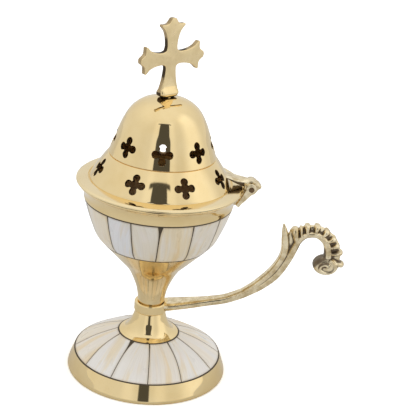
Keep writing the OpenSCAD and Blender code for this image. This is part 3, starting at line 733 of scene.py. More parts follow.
# %% [markdown]
# Each tile becomes a solid with Solidify. Its bed is turned on the lathe, a hair lower than the tiles,
# and the tiles are cut out of it.

# %% Tiles and beds
END_GAP = 0.75
FOOT_SEAM_W = 0.38
BOWL_SEAM_W = 0.5
BED_DROP = 0.04


def inlay(name, field, seams, width, finish):
    """A ring of tiles on a field, each a closed solid."""
    piece = new_outline(name, field)
    length = np.linalg.norm(np.diff(field, axis=0), axis=1).sum()
    seam_list = new_piece("seams", seams)
    add_tree(piece, INLAY, {"Seams": seam_list, "Seam Width": width * MM, "End Gap": END_GAP / length,
                            "Finish": finish})
    plain(piece)
    bpy.data.objects.remove(seam_list)
    tidy(piece, 180)
    solid = piece.modifiers.new("Thickness", "SOLIDIFY")
    solid.thickness = TILE_T * MM
    solid.offset = -1
    plain(piece)
    piece.data.set_sharp_from_angle(angle=math.radians(40))
    return piece


def resin_bed(name, field, tiles):
    """A ring of resin in the recess, with a pocket for every tile."""
    top = shifted(field, -BED_DROP)
    piece = turned(name, np.vstack([top, shifted(field, -INLAY_T)[::-1], top[:1]]), RESIN, 240)
    boolean(piece, "DIFFERENCE", tiles)
    tidy(piece)
    return piece


def node_names(first_part, count):
    return [f"{first_part}_{i:02d}" for i in range(1, count + 1)]


foot_pearls = inlay("foot_pearls", foot_field, foot_seams, FOOT_SEAM_W, FOOT_PEARL)
foot_bed = resin_bed("foot_bed", foot_field, foot_pearls)
bowl_pearls = inlay("bowl_pearls", bowl_field, bowl_seams, BOWL_SEAM_W, BOWL_PEARL)
bowl_bed = resin_bed("bowl_bed", bowl_field, bowl_pearls)
seat(foot_pearls, "base", "foot_pearl", *node_names("foot_tile", len(foot_lean)))
seat(foot_bed, "base", "setting_resin", "foot_resin")
seat(bowl_pearls, "base", "bowl_pearl", *node_names("bowl_tile", len(bowl_lean)))
seat(bowl_bed, "base", "setting_resin", "bowl_resin")

# %% [markdown]
# ## Pierced lid
# The lid is spun from sheet: a flange that lies on the bowl's rim, a skirt, and a bell-shaped dome
# above a fine groove. The inside is the outer line shifted by the wall's thickness.

# %% Lid
SEAT_Z = 95.15
DOME_FOOT = 109.0
DOME_TOP = 136.0
LID_WALL = 1.4
STUD_R = 1.9

flange = eased([(31.6, SEAT_Z), (37.9, SEAT_Z), (38.5, 95.5), (38.4, 96.0), (37.4, 96.6), (33.1, 97.1),
                (32.85, 96.6), (32.5, 96.6), (32.5, 97.2)], 0.15)
skirt = smooth([(32.5, 97.2), (30.05, 101.2), (27.48, 105.1), (24.7, 109.0)], 8)
score = [(24.2, 109.1), (24.2, 109.3)]
dome = smooth([(24.45, 109.45), (22.1, 116), (19.2, 124), (15.8, 130), (10.9, 134), (4.5, DOME_TOP)], 10)
lid_inside = shifted(np.vstack([skirt[:-1], dome]), -LID_WALL)[::-1]
lid_outline = np.vstack([flange, skirt[1:], score, dome, [(STUD_R + 0.1, DOME_TOP)],
                         [(STUD_R + 0.1, DOME_TOP - LID_WALL)], lid_inside, [(lid_inside[-1][0], SEAT_Z)],
                         flange[:1]])
lid = turned("spun_lid", lid_outline, POLISHED, 256)
print("lid outline:", len(lid_outline), "points")

# %% [markdown]
# Two rows of cross-shaped vents are pierced through the wall. The punch for them has a round middle and
# four round lobes. It is flared where it leaves the outer face, which breaks the vent's sharp edge and
# gives it the thin bright line that the buffing wheel leaves.

# %% Punch
VENT_CORE, VENT_LOBE, VENT_REACH = 2.1, 1.7, 3.0


def tube_faces(rows, sides):
    """Faces of a closed tube whose points are listed ring by ring."""
    faces = [tuple(range(sides)), tuple(range((rows - 1) * sides, rows * sides))[::-1]]
    for i in range(rows - 1):
        for k in range(sides):
            j = (k + 1) % sides
            faces.append((i * sides + k, (i + 1) * sides + k, (i + 1) * sides + j, i * sides + j))
    return faces


def vent_outline(core, lobe, reach, count=96):
    """A round middle and four round lobes, as seen from the vent's centre."""
    points = []
    for a in np.arange(count) * 2 * math.pi / count:
        off = (a + math.pi / 4) % (math.pi / 2) - math.pi / 4
        inside = lobe**2 - (reach * math.sin(off))**2
        far = reach * math.cos(off) + math.sqrt(inside) if inside > 0 else 0
        r = max(core, far)
        points.append((r * math.cos(a), r * math.sin(a)))
    return np.array(points)


def punch(wall_r):
    """A vent's punch along X, whose flare follows a wall of that radius."""
    outline = vent_outline(VENT_CORE, VENT_LOBE, VENT_REACH)[::-1]
    levels = [(-4.0, 1.0, 0), (-0.45, 1.0, 1), (-0.12, 1.02, 1), (0.05, 1.06, 1), (1.5, 1.3, 0)]
    points = []
    for depth, flare, follow in levels:
        for y, z in outline * flare:
            points.append((depth - follow * y * y / (2 * wall_r), y, z))
    return new_piece("punch", points, faces=tube_faces(len(levels), len(outline)))

# %% [markdown]
# A third tree drives the punch through the wall at every place of a row. Each row has its own height,
# first angle and lean, so the punch always stands square to the wall.

# %% Pierce tree
def pierce_tree():
    sizes = dict.fromkeys(("First", "Pitch", "Radius", "Height", "Lean"), "Float")
    inputs = {"Punch": "Object", "Vents": "Int", **sizes, "Finish": "Material"}
    tree, given = geometry_tree("Pierce", inputs)
    wall = given["Geometry"]
    row = wall.node("GeometryNodeMeshLine", None, {"Count": given["Vents"]})
    angle = given["First"] + wall.node("GeometryNodeInputIndex") * given["Pitch"]
    place = wall.vector(given["Radius"] * angle.maths("COSINE", angle),
                        given["Radius"] * angle.maths("SINE", angle), given["Height"])
    row = wall.node("GeometryNodeSetPosition", None, {"Geometry": row, "Position": place})
    tool = wall.node("GeometryNodeObjectInfo", None, {"Object": given["Punch"]}, "Geometry")
    turn = wall.node("FunctionNodeEulerToRotation", None, {0: wall.vector(0.0, 0 - given["Lean"], angle)})
    places = {"Points": row, "Instance": tool, "Rotation": turn}
    driven = wall.node("GeometryNodeInstanceOnPoints", None, places)
    driven = wall.node("GeometryNodeRealizeInstances", None, {"Geometry": driven})
    cut = wall.node("GeometryNodeMeshBoolean", {"operation": "DIFFERENCE", "solver": "EXACT"},
                    {"Mesh 1": wall, "Mesh 2": driven})
    end_tree(cut, given["Finish"])
    return tree


PIERCE = pierce_tree()
print("pierce:", len(PIERCE.nodes), "nodes")

# %% [markdown]
# The dome has eight vents. The skirt has four to the front and the right, two on the left, which stray
# a little, and one at the back. No vent is put where the hinge is.

# %% Vents
def wall_at(outline, height):
    """Radius and lean of an outline at a height."""
    i = int(np.argmax(outline[:, 1] > height))
    (r0, z0), (r1, z1) = outline[i - 1], outline[i]
    return r0 + (r1 - r0) * (height - z0) / (z1 - z0), math.atan2(r0 - r1, z1 - z0)


VENT_PITCH = math.radians(45)
LEFT_SLIP = math.radians(6.5)
DOME_VENT_Z = 116.0
SKIRT_VENT_Z = 103.0
rows = [(dome, DOME_VENT_Z, 8, FRONT), (skirt, SKIRT_VENT_Z, 4, FRONT - 0.5 * VENT_PITCH),
        (skirt, SKIRT_VENT_Z, 2, FRONT - 2.5 * VENT_PITCH - LEFT_SLIP),
        (skirt, SKIRT_VENT_Z, 1, FRONT + math.pi)]
punches = []
for outline, vent_z, vents, first in rows:
    wall_r, lean = wall_at(outline, vent_z)
    punches.append(punch(wall_r / math.cos(lean)))
    add_tree(lid, PIERCE, {"Punch": punches[-1], "Vents": vents, "First": first, "Pitch": VENT_PITCH,
                           "Radius": wall_r * MM, "Height": vent_z * MM, "Lean": lean, "Finish": POLISHED})
plain(lid)
for tool in punches:
    bpy.data.objects.remove(tool)
tidy(lid)
print("vents:", sum(vents for _, _, vents, _ in rows))

# %% [markdown]
# The inside of the lid is never polished, and smoke has browned the cut walls of the vents. Both lie
# under the outer skin. The inside looks towards the axis and the vents' walls look along the skin, so
# the faces can be told apart. The groove at the foot of the dome is dull too. The flange was buffed on
# its own and is a little softer.

# %% Finishes of the lid
FLANGE_TOP = 97.15
CROWN_Z = 126.0
outer_skin = np.vstack([skirt, dome])


def lid_finish(at, normal):
    skin_r = np.interp(at.z, outer_skin[:, 1], outer_skin[:, 0])
    if at.z < FLANGE_TOP:
        return BUFFED
    if at.xy.length > skin_r - 0.25 or at.z > DOME_TOP - 0.2:
        return POLISHED
    inward = at.x * normal.x + at.y * normal.y < -0.3 * at.xy.length and normal.z < 0.1
    in_groove = abs(at.z - DOME_FOOT - 0.2) < 0.4
    return DULL if inward or in_groove or at.z > CROWN_Z else SMOKED


dress(lid, (POLISHED, DULL, SMOKED, BUFFED), lid_finish)
seat(lid, "lid", "turned_brass", "lid")

# %% [markdown]
# ## Charcoal cup
# A thin spun cup hangs by its flange on the ledge inside the bowl and keeps the fire off the inlay. It
# is dull all over.

# %% Charcoal cup
CUP_T = 0.9
FLANGE_LOW = 90.1
CUP_WALL_TOP = 89.5
cup_low, cup_high = (corner.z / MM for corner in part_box("charcoal_cup"))
cup_outer = smooth([(29.6, FLANGE_LOW), (28.6, 83.1), (25.6, 75.6), (20.4, 69.1), (12, 65.7),
                    (0.0, cup_low)], 8)
cup_inner = shifted(cup_outer, CUP_T)[::-1]
cup_inner = cup_inner[(cup_inner[:, 0] > 0.5) & (cup_inner[:, 1] < CUP_WALL_TOP)]
cup_rim = eased([(cup_inner[-1][0], CUP_WALL_TOP), (28.9, cup_high), (32.2, cup_high), (32.2, FLANGE_LOW),
                 (29.6, FLANGE_LOW)], 0.4)
cup_outline = np.vstack([[(0.0, cup_low + CUP_T)], cup_inner, cup_rim, cup_outer[1:]])
cup = turned("spun_cup", cup_outline, DULL, 144)
seat(cup, "cup", "cup_brass", "charcoal_cup")

# %% [markdown]
# ## Cast handle
# The handle is one casting: a ring that is clamped under the stem, an arm that becomes two strands, a
# thorn where the outer strand ends, and a crest of curled leaves that runs on into a scroll. Every
# strand is a tube through a few stations. The parts are then fused by a voxel remesh, which gives the
# soft inner corners that a casting has.

# %% Tubes
def squared_ring(sides, squareness):
    """A ring of unit size: round for a squareness of 2, and nearer to a square above that."""
    turn = np.arange(sides) * 2 * math.pi / sides
    return [np.sign(way) * np.abs(way)**(2 / squareness) for way in (np.cos(turn), np.sin(turn))]


def tube(rows, sides, squareness, crease=0.0):
    """A closed tube along X and Z, through rows of [x, z, depth inside, depth outside, half width]."""
    rows = np.array(rows, float)
    ahead = np.gradient(rows[:, :2], axis=0)
    ahead /= np.linalg.norm(ahead, axis=1, keepdims=True)
    across, aside = squared_ring(sides, squareness)
    groove = 1 - crease * np.exp(-((across + 0.5) / 0.16)**2)
    points = []
    for (x, z, inner, outer, half_w), (dx, dz) in zip(rows, ahead):
        for c, y in zip(across, aside * groove):
            depth = c * (outer if c > 0 else inner)
            points.append((x - depth * dz, y * half_w, z + depth * dx))
    return points, tube_faces(len(rows), sides)


def strand(stations, steps=10, sides=28, squareness=2.4, crease=0.0):
    return tube(smooth(stations, steps), sides, squareness, crease)


def gathered(name, shells):
    """Several closed shells as one mesh object."""
    points, faces = [], []
    for shell_points, shell_faces in shells:
        start = len(points)
        points += list(shell_points)
        faces += [tuple(start + i for i in face) for face in shell_faces]
    piece = new_piece(name, points, faces=faces)
    tidy(piece)
    return piece

# %% [markdown]
# The stations below are written as [x, z, depth inside, depth outside, half width]. Inside is the
# right-hand side of the way a strand runs, so it is the lower side of the arm and the hollow side of
# the curl. A leaf of the crest is written as its root, its tip and half its thickness.

# %% Strands of the handle
arm = [[4.6, 32.8, 2, 2, 4.4], [9, 33.6, 2, 2, 5.2], [17, 34.9, 1.9, 1.9, 4.4],
       [27, 36.8, 1.8, 1.8, 3.2], [36, 39, 1.9, 1.9, 2.8], [46, 44, 2.1, 2.1, 2.7],
       [52, 49.4, 1.8, 1.8, 2.2], [55, 52.6, 0.8, 0.8, 1.2]]
curl = [[39, 40, 0.7, 0.8, 1.3], [44, 42.3, 1.3, 1.8, 2.4], [50.2, 46, 1.7, 2.1, 2.6],
        [57.6, 53, 1.9, 2.3, 2.8], [62.4, 61.2, 1.8, 2.2, 2.8], [64.8, 67.4, 1.8, 1.9, 2.9],
        [66.4, 71.8, 1.8, 1.7, 3.0], [69, 74.8, 1.8, 1.6, 3.1], [72.1, 75.8, 1.8, 1.6, 3.2],
        [75.1, 75.6, 1.8, 1.6, 3.2], [78.2, 73.6, 1.8, 1.7, 3.2], [80.2, 70.6, 1.8, 1.8, 3.2],
        [81, 66.4, 1.9, 2.0, 3.2], [81, 62.4, 2.2, 2.2, 3.0]]
thorn = [[39, 40.7, 0.7, 0.7, 1.3], [44, 44, 1.7, 1.3, 2.3], [48.6, 47.6, 2.0, 1.4, 2.5],
         [55.2, 54.6, 2.2, 1.6, 2.6], [59.3, 61.6, 2.2, 1.6, 2.5], [60.6, 67, 2.0, 1.8, 2.4],
         [60.3, 72, 1.8, 1.8, 2.0], [59.5, 76, 1.4, 1.2, 1.5], [59.0, 78.6, 0.7, 0.6, 0.8],
         [58.8, 79.7, 0.2, 0.2, 0.25]]
web = [[66, 70.8, 0.4, 3.4, 1.5], [69, 74.8, 0.4, 4.3, 1.5], [72.1, 75.8, 0.4, 4.1, 1.5],
       [75.1, 75.6, 0.4, 4.2, 1.5], [78.2, 73.6, 0.4, 4.6, 1.5], [80.2, 70.6, 0.4, 5.4, 1.5],
       [81, 66.4, 0.4, 6.2, 1.5], [81, 62.4, 0.4, 5.8, 1.5]]
fork = [[62.4, 64, 0.9, 0.9, 1.1], [63.1, 69, 1.7, 1.6, 1.4], [63, 73.5, 1.5, 1.5, 1.3],
        [62.7, 77, 0.8, 0.7, 0.9]]
leaves = [((65.8, 70.6), (64.0, 78.4), 1.65), ((67.6, 73.2), (67.0, 79.0), 0.75),
          ((70.0, 75.0), (69.9, 80.5), 1.25), ((73.6, 75.6), (74.9, 80.7), 1.35),
          ((76.9, 74.8), (80.2, 78.3), 1.4), ((79.2, 72.4), (84.0, 74.6), 1.35),
          ((80.4, 69.6), (86.1, 71.0), 1.1), ((81.2, 66.8), (88.0, 67.4), 1.15),
          ((81.8, 63.2), (89.2, 60.9), 1.3)]


def leaf(root, tip, half_t):
    """One ridge of the crest, from the rim out to its rounded tip."""
    root, tip = np.array(root), np.array(tip)
    rows = []
    for t, thick, half_w in [(-0.1, 0.7, 2.6), (0.2, 0.85, 3.2), (0.5, 1, 3.4), (0.75, 1.15, 3.05),
                             (0.92, 1, 2.25), (1.0, 0.45, 1.0)]:
        x, z = root + t * (tip - root)
        rows.append([x, z, half_t * thick, half_t * thick, half_w])
    return strand(rows, 5, 20, 2.3)


print("leaves on the crest:", len(leaves))

# %% [markdown]
# The scroll ends in a thick disc with rounded edges. A bead winds over both of its faces, towards the
# eye of the scroll. At its other end the arm grows out of the ring that is clamped under the stem.

# %% Scroll end and ring
SCROLL_AT = np.array([80.6, 0, 60.4])
SCROLL_HALF = np.array([6.1, 4.5, 4.5])


def scroll_disc():
    rows = []
    for a in np.radians(np.linspace(-86, 86, 27)):
        c = math.cos(a)
        rows.append([SCROLL_AT[0], SCROLL_AT[2] + SCROLL_HALF[2] * math.sin(a), SCROLL_HALF[0] * c,
                     SCROLL_HALF[0] * c, SCROLL_HALF[1] * c**0.45])
    return tube(rows, 40, 3.0)


def scroll_bead(side, turns=1.05, thickness=0.75, count=80, sides=12):
    """A round bead that spirals over one face of the disc, thicker towards its eye."""
    points = []
    for t in np.linspace(0, 1, count):
        a = math.radians(75 - 360 * turns * t)
        reach = 0.8 - 0.5 * t
        out = np.array([math.cos(a), 0, math.sin(a)])
        middle = SCROLL_AT + SCROLL_HALF * (reach * out + np.array([0, side * (1 - reach**3)**0.4, 0]))
        size = thickness * (1 + 0.7 * max(0, t - 0.85) / 0.15)
        for k in range(sides):
            b = 2 * math.pi * k / sides
            points.append(middle + size * (math.cos(b) * out + math.sin(b) * np.array([0, 1, 0])))
    return points, tube_faces(count, sides)


def ring(inner, outer, low, high, edge, segments=72):
    """A flat ring with eased edges."""
    middle = (inner + outer) / 2
    corners = [(middle, low), (outer, low), (outer, high), (inner, high), (inner, low), (middle, low)]
    outline = eased(corners, edge)[:-1]
    n = len(outline)
    points, faces = [], []
    for k in range(segments):
        a = 2 * math.pi * k / segments
        points += [(r * math.cos(a), r * math.sin(a), z) for r, z in outline]
        for i in range(n):
            j = (i + 1) % n
            m = (k + 1) % segments
            faces.append((k * n + i, m * n + i, m * n + j, k * n + j))
    return points, faces

# %% [markdown]
# All shells are gathered into one mesh. The voxel remesh fuses them, and two passes of smoothing take
# away its steps. The ring was polished together with the stem, so it has that finish.

# %% Fuse the handle
VOXEL = 0.22
RING_R = 7.8
RING_PLAY = 0.05
ring_shell = ring(BORE_R, RING_R, NECK_TOP + RING_PLAY, STEM_FOOT - RING_PLAY, 0.7)
shells = [ring_shell, strand(arm, 10, 40, 3.0, 0.16), strand(curl), strand(thorn), strand(web, 8),
          strand(fork, 8), scroll_disc(), scroll_bead(-1), scroll_bead(1)]
shells += [leaf(*each) for each in leaves]
handle = gathered("cast_handle", shells)
fuse = handle.modifiers.new("Fuse", "REMESH")
fuse.mode = "VOXEL"
fuse.voxel_size = VOXEL * MM
soften = handle.modifiers.new("Soften", "SMOOTH")
soften.factor = 0.5
soften.iterations = 2
plain(handle)
handle.data.shade_smooth()
dress(handle, (CAST, POLISHED), lambda at, normal: POLISHED if at.xy.length < RING_R + 0.15 else CAST)
print("handle:", len(handle.data.polygons), "faces")

# %% [markdown]
# A casting is darker in its hollows. A point lies in a hollow when its neighbours, averaged over a little
# patch, lie further out than the point does. That measure is kept on the mesh for the shader to read,
# together with painted shade: here it darkens the upper left walls of the scroll end and the curl above it.

# %% Hollows of the casting
def mark_hollows(piece, passes, depth, painted_shade=None):
    """Store from 0 to 1 how deep each point lies below its surroundings, plus the painted shade given last,
    as the attribute hollow.
    """
    mesh = piece.data
    count = len(mesh.vertices)
    points = np.empty(count * 3)
    mesh.vertices.foreach_get("co", points)
    points = points.reshape(-1, 3)
    normals = np.empty(count * 3, np.float32)
    mesh.vertices.foreach_get("normal", normals)
    normals = normals.reshape(-1, 3)
    edges = np.empty(len(mesh.edges) * 2, np.int32)
    mesh.edges.foreach_get("vertices", edges)
    a, b = edges.reshape(-1, 2).T
    degree = np.bincount(a, minlength=count) + np.bincount(b, minlength=count)
    around = points.copy()
    for _ in range(passes):
        total = [np.bincount(a, around[b, i], count) + np.bincount(b, around[a, i], count)
                 for i in range(3)]
        around = np.stack(total, 1) / degree[:, None]
    sunk = np.einsum("ij,ij->i", around - points, normals) / (depth * MM)
    if painted_shade:
        sunk = np.maximum(sunk, painted_shade(points / MM, normals))
    hollow = mesh.attributes.new("hollow", "FLOAT", "POINT")
    hollow.data.foreach_set("value", np.clip(sunk, 0, 1).astype(np.float32))
    print(piece.name, "hollows over", round(float((sunk > 0.3).mean()) * 100), "% of its points")


def curl_painted_shade(points, normals):
    """Painted shade on the upper left walls of the scroll end and the wall of the curl just above it."""
    near = np.clip(1.6 - np.linalg.norm((points - SCROLL_AT) / (6.5, 9, 8.5), axis=1), 0, 0.5) * 2
    towards = 0.7 * normals[:, 2] - 0.7 * normals[:, 0]
    return near * np.clip((towards - 0.25) * 2.5, 0, 0.65)


# Painted shade is stored on the scroll end and the curl together with the hollows.
mark_hollows(handle, 30, 0.25, curl_painted_shade)
seat(handle, "base", "cast_brass", "handle")

# %% [markdown]
# ## Cross
# The cross is a flat casting with bevelled edges, and its base swells out towards the lid. It stands
# askew on its stud. An outline could be traced all round, but half an arm is enough: it is mirrored,
# stretched a little for each arm, and turned into its quarter.

# %% Cross outline
CROSS_TURN = math.radians(40.5)
CROSS_T = 2.4
CROSS_ARM = 16.5
cross_z = DOME_TOP + CROSS_ARM + 1.5

crotch = [(4.3, 2.95), (3.4, 3.4), (2.95, 4.3), (2.8, 5.8)]
flank = smooth(crotch + [(3.2, 8.6), (4.2, 11.2), (5.9, 13.0)], 5)[5:]
arm_end = smooth([(5.9, 13.0), (6.1, 13.45), (5.7, 14.0), (4.2, 14.0), (2.8, 14.3), (1.9, 15.2), (1.1, 16.2),
                  (0.0, CROSS_ARM)], 4)
half_arm = np.vstack([flank, arm_end[1:]])
base_flank = smooth(crotch[:3] + [(2.95, 5.8), (3.4, 9.2), (4.2, 12.4), (4.9, 14.4)], 5)[5:]
half_base = np.vstack([base_flank, [(0.0, 14.4)]])


def stretched(half, longer, wider):
    """The casting is uneven: every arm has its own length beyond the crotch and its own width at the end."""
    beyond = half[:, 1] - half[0, 1]
    across = half[:, 0] * (1 + (wider - 1) * beyond / beyond.max())
    return np.stack([across, half[0, 1] + longer * beyond], 1)


def quarter_turn(points, quarter):
    c, s = [(1, 0), (0, 1), (-1, 0), (0, -1)][quarter]
    return points @ np.array([[c, s], [-s, c]])


cross_outline = []
top_arm = stretched(half_arm, 1.115, 1.1)
left_arm = stretched(half_arm, 1.06, 1)
right_arm = stretched(half_arm, 1.18, 1.06)
arms = [top_arm, left_arm, half_base, right_arm]
for quarter, half in enumerate(arms):
    whole_arm = np.vstack([half, (half * (-1, 1))[::-1][1:]])
    cross_outline.append(quarter_turn(whole_arm, quarter)[1:])
cross_outline = np.vstack(cross_outline)
print("cross outline:", len(cross_outline), "points")

# %% [markdown]
# A plate is an outline with a thickness, and its bevels come from a modifier. The base of the cross is
# a stack of rounded sections. Parts that overlap are united, because the seam of two shells that merely
# cross each other would show in the gloss.

# %% Plates, bevels and stacks
def slab(outline, thickness, place):
    """A flat plate: place puts a point (across, up, through) where it belongs."""
    points = [place(x, z, side * thickness / 2) for side in (-1, 1) for x, z in outline]
    return points, tube_faces(2, len(outline))


def on_cross(x, z, through):
    c, s = math.cos(CROSS_TURN), math.sin(CROSS_TURN)
    return (x * c - through * s, x * s + through * c, cross_z + z)


def bevel(piece, width, segments=3, angle=38):
    edge = piece.modifiers.new("Edges", "BEVEL")
    edge.width = width * MM
    edge.segments = segments
    edge.limit_method = "ANGLE"
    edge.angle_limit = math.radians(angle)


def stack(sections, squareness, sides=64):
    """A closed shape from sections of (height, half width, half thickness) on the cross's own axes."""
    across, through = squared_ring(sides, squareness)
    points = []
    for z, half_w, half_t in sections:
        points += [on_cross(x * half_w, z, y * half_t) for x, y in zip(across, through)]
    return points, tube_faces(len(sections), sides)


def unite(piece, *parts):
    """Fuse closed parts into a piece, and clear them away."""
    for part in parts:
        boolean(piece, "UNION", part)
        bpy.data.objects.remove(part)

# %% [markdown]
# The plate gets its bevels first. Then the base and the stud, which goes through the lid, are fused to
# it.

# %% Cross
cross = gathered("cast_cross", [slab(cross_outline, CROSS_T, on_cross)])
bevel(cross, 0.55)
plain(cross)
base_sections = smooth([(-12.6, 3.9, 1.1), (-13.6, 4.5, 1.5), (-15.0, 5.1, 2.5), (-16.2, 5.2, 2.85),
                        (-17.1, 4.7, 2.6), (-17.7, 3.7, 2.0), (-17.95, 2.9, 1.6)], 4)
base = gathered("cross_base", [stack(base_sections, 4.0)])
STUD_LOW = 129.5
STUD_HIGH = DOME_TOP + 2
stud_outline = [(0.0, STUD_LOW), (STUD_R, STUD_LOW), (STUD_R, STUD_HIGH), (0.0, STUD_HIGH)]
stud = turned("cross_stud", stud_outline, CAST, 48)
unite(cross, base, stud)
tidy(cross, 30)
print("cross:", len(cross.data.polygons), "faces")

# %% [markdown]
# The flat faces are filed and rubbed dull, the bevels shine and the sides are darker. A face is told by
# how squarely it looks along the plate's thickness. Painted shade darkens the underside of the base and,
# most of all, the walls between the arms and at the foot.

# %% Finishes of the cross
BASE_BRIM = cross_z - 13.5
face_normal = Vector(on_cross(0, 0, 1)) - Vector(on_cross(0, 0, 0))


def cross_finish(at, normal):
    facing = abs(normal.dot(face_normal))
    if at.z < BASE_BRIM:
        # The underside of the base gets the darker finish as painted shade.
        return DARK_SIDES if normal.z < -0.4 or facing < 0.25 else POLISHED
    if facing > 0.97:
        return FILED
    return DARK_SIDES if facing < 0.3 else POLISHED


def cross_painted_shade(points, normals):
    """Painted shade on the walls between the arms and at the foot of the base."""
    from_middle = np.linalg.norm(points - (0, 0, cross_z), axis=1)
    between_arms = np.clip((11.5 - from_middle) / 4, 0, 1)
    at_foot = np.clip((from_middle - 16) * 2, 0, 1) * (points[:, 2] < cross_z - 10)
    return between_arms + at_foot


dress(cross, (FILED, DARK_SIDES, POLISHED), cross_finish)
mark_hollows(cross, 1, 1.0, cross_painted_shade)
seat(cross, "lid", "cast_brass", "cross_finial")

# %% [markdown]
# ## Hinge
# The lid turns on a pin between two ears. A cast leaf with a rounded back reaches from the skirt to the
# pin and ends in a nose, which meets the strap when the lid is fully open. The strap carries the ears
# up from the rim.

# %% Hinge leaf
PIN = np.array([41.7, 97.0])
PIN_R = 1.3
PIN_PLAY = 0.06
KNUCKLE_R = 3.3
KNUCKLE_W = 6.0
EAR_T = 2.6
EAR_R = 2.4
SIDE_PLAY = 0.2


def round_bar(name, radius, half_length, finish, edge=0.25):
    """A round bar along Y through the hinge's axis."""
    corners = [(0.0, -half_length), (radius, -half_length), (radius, half_length), (0.0, half_length)]
    bar = turned(name, eased(corners, edge), finish, 64)
    to_hinge = Matrix.Translation((PIN[0] * MM, 0, PIN[1] * MM))
    bar.data.transform(to_hinge @ Matrix.Rotation(math.pi / 2, 4, "X"))
    return bar


def cut_away(piece, tool):
    """Cut a closed shape out of a piece, and clear the shape away."""
    boolean(piece, "DIFFERENCE", tool)
    bpy.data.objects.remove(tool)


leaf_body = [[28.6, 101.55, 0.35, 0.35, 3.65], [31, 100.85, 0.65, 0.65, 4.1], [34, 99.9, 1.15, 1.15, 4.25],
             [36.8, 99.07, 1.65, 1.65, 3.75], [39, 98.6, 1.9, 1.9, 3.0], [42, 98.1, 2.15, 2.2, 2.95],
             [44.4, 97.3, 1.9, 1.9, 2.95], [45.8, 96.9, 1.0, 1.0, 2.5], [46.3, 96.65, 0.3, 0.3, 1.5]]
leaf_plate = gathered("cast_leaf", [strand(leaf_body, 8, 40, 2.8)])
unite(leaf_plate, round_bar("knuckle", KNUCKLE_R, KNUCKLE_W / 2 - 0.05, CAST, 0.4))
cut_away(leaf_plate, round_bar("bore", PIN_R + PIN_PLAY, 20, CAST))
tidy(leaf_plate, 40)
dress(leaf_plate, (CAST,), lambda at, normal: CAST)


def leaf_painted_shade(points, normals):
    """Painted shade on the side and the underside of the leaf next to the skirt."""
    return np.clip((38.6 - points[:, 0]) * 2, 0, 1) * np.clip((0.35 - normals[:, 2]) * 4, 0, 1)


mark_hollows(leaf_plate, 1, 1.0, leaf_painted_shade)
seat(leaf_plate, "lid", "cast_brass", "hinge_leaf")

# %% [markdown]
# The ears are plates of one outline: an eye round the pin and an arm down to the rim. A web joins the
# two arms below the knuckle, and a small foot seats them against the lip.

# %% Hinge strap and pin
STRAP_END = np.array([35.9, 88.4])
STRAP_T = 1.6
WEB_START = 4.0
EAR_Y = (KNUCKLE_W + EAR_T) / 2 + SIDE_PLAY
HINGE_W = KNUCKLE_W + 2 * SIDE_PLAY + 2 * EAR_T
down_strap = (STRAP_END - PIN) / np.linalg.norm(STRAP_END - PIN)
beside_strap = np.array([-down_strap[1], down_strap[0]])


def ear_outline():
    """An eye with an arm that tapers down to the strap's end."""
    half_root, half_tip = 0.7 * EAR_R, 0.35 * STRAP_T
    half_mouth = math.asin(half_root / EAR_R)
    first = math.atan2(down_strap[1], down_strap[0]) + half_mouth
    angles = np.linspace(first, first + 2 * math.pi - 2 * half_mouth, 40)
    eye = PIN + EAR_R * np.stack([np.cos(angles), np.sin(angles)], 1)
    end = [STRAP_END - beside_strap * half_tip, STRAP_END + beside_strap * half_tip]
    return np.vstack([eye, end])


def in_plane(y):
    return lambda x, z, through: (x, y + through, z)


web_top = PIN + down_strap * WEB_START
half_web = beside_strap * STRAP_T / 2
web_outline = np.array([web_top - half_web, STRAP_END - half_web, STRAP_END + half_web, web_top + half_web])
foot_corners = np.array([(33, 88), (35.9, 88), (37.3, 90.4), (33, 91.4)])
strap = gathered("cast_strap", [slab(ear_outline(), EAR_T, in_plane(-EAR_Y))])
unite(strap, gathered("ear", [slab(ear_outline(), EAR_T, in_plane(EAR_Y))]),
      gathered("web", [slab(web_outline, HINGE_W - 0.02, in_plane(0))]),
      gathered("foot", [slab(foot_corners, KNUCKLE_W, in_plane(0))]))
bevel(strap, 0.3, 2)
plain(strap)
tidy(strap, 30)
dress(strap, (CAST,), lambda at, normal: CAST)
seat(strap, "base", "cast_brass", "hinge_bracket")

pin = round_bar("hinge_rivet", PIN_R, HINGE_W / 2 + 0.3, SMOKED, 0.3)
seat(pin, "base", "cast_brass", "hinge_pin")

# %% [markdown]
# ## Bolt, washer and nuts
# One long bolt holds foot, handle and bowl together, and a nut holds the cross. All of them are plain
# turned steel, so the lathe makes them too: with only six steps round the axis it gives a nut its
# flats. The screwdriver's slot is cut into the bolt's head afterwards.

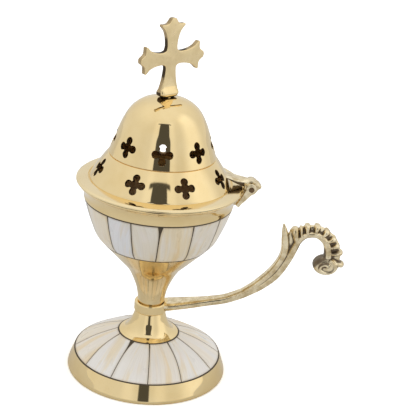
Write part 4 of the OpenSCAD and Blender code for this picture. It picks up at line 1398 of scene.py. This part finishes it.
# %% Bolt, washer and nuts
def fastener(name, outline, segments, body, node, cutter=None):
    """A steel piece from the lathe, with a cut where a tool grips it."""
    piece = turned(name, outline, STEEL, segments)
    if cutter:
        cut_away(piece, cutter)
        tidy(piece)
    seat(piece, body, "steel", node)


def nut_outline(node, bore):
    """A chamfered nut of the solid's own height and corners."""
    low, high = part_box(node)
    corner = max(high.x - low.x, high.y - low.y) / 2 / MM
    z0, z1 = low.z / MM, high.z / MM
    return [(bore, z0), (corner - 0.5, z0), (corner, z0 + 0.3), (corner, z1 - 0.3), (corner - 0.5, z1),
            (bore, z1), (bore, z0)]


bolt_low, bolt_high = (corner.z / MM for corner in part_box("tie_bolt"))
BOLT_R = 2.5
HEAD_R = 4.5
HEAD_H = 2
THREAD_DEPTH = 0.3
HALF_PITCH = 0.4
SLOT_W = 1.2
threads = [(BOLT_R - THREAD_DEPTH * (i % 2), bolt_low + 0.6 + HALF_PITCH * i) for i in range(23)]
head_low = bolt_high - HEAD_H
bolt_head = eased([(BOLT_R, head_low), (HEAD_R, head_low), (HEAD_R, bolt_high), (0.0, bolt_high)], 0.5)
bolt_outline = np.vstack([[(0.0, bolt_low), (2.0, bolt_low)], threads, bolt_head])
washer_low, washer_high = (corner.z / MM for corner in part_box("tie_washer"))
washer_outline = [(BORE_R, washer_low), (5.3, washer_low), (5.5, washer_low + 0.2), (5.5, washer_high - 0.2),
                  (5.3, washer_high), (BORE_R, washer_high), (BORE_R, washer_low)]
slot_low, slot_high = bolt_high - HEAD_H / 2, bolt_high + HEAD_H / 2
slot_corners = np.array([(-6, slot_low), (6, slot_low), (6, slot_high), (-6, slot_high)])
bolt_slot = gathered("slot", [slab(slot_corners, SLOT_W, in_plane(0))])
fastener("steel_bolt", bolt_outline, 64, "base", "tie_bolt", bolt_slot)
fastener("steel_washer", washer_outline, 64, "base", "tie_washer")
fastener("steel_nut", nut_outline("tie_nut", 3.0), 6, "base", "tie_nut")
fastener("cross_nut", nut_outline("finial_nut", 2.25), 6, "lid", "finial_nut")
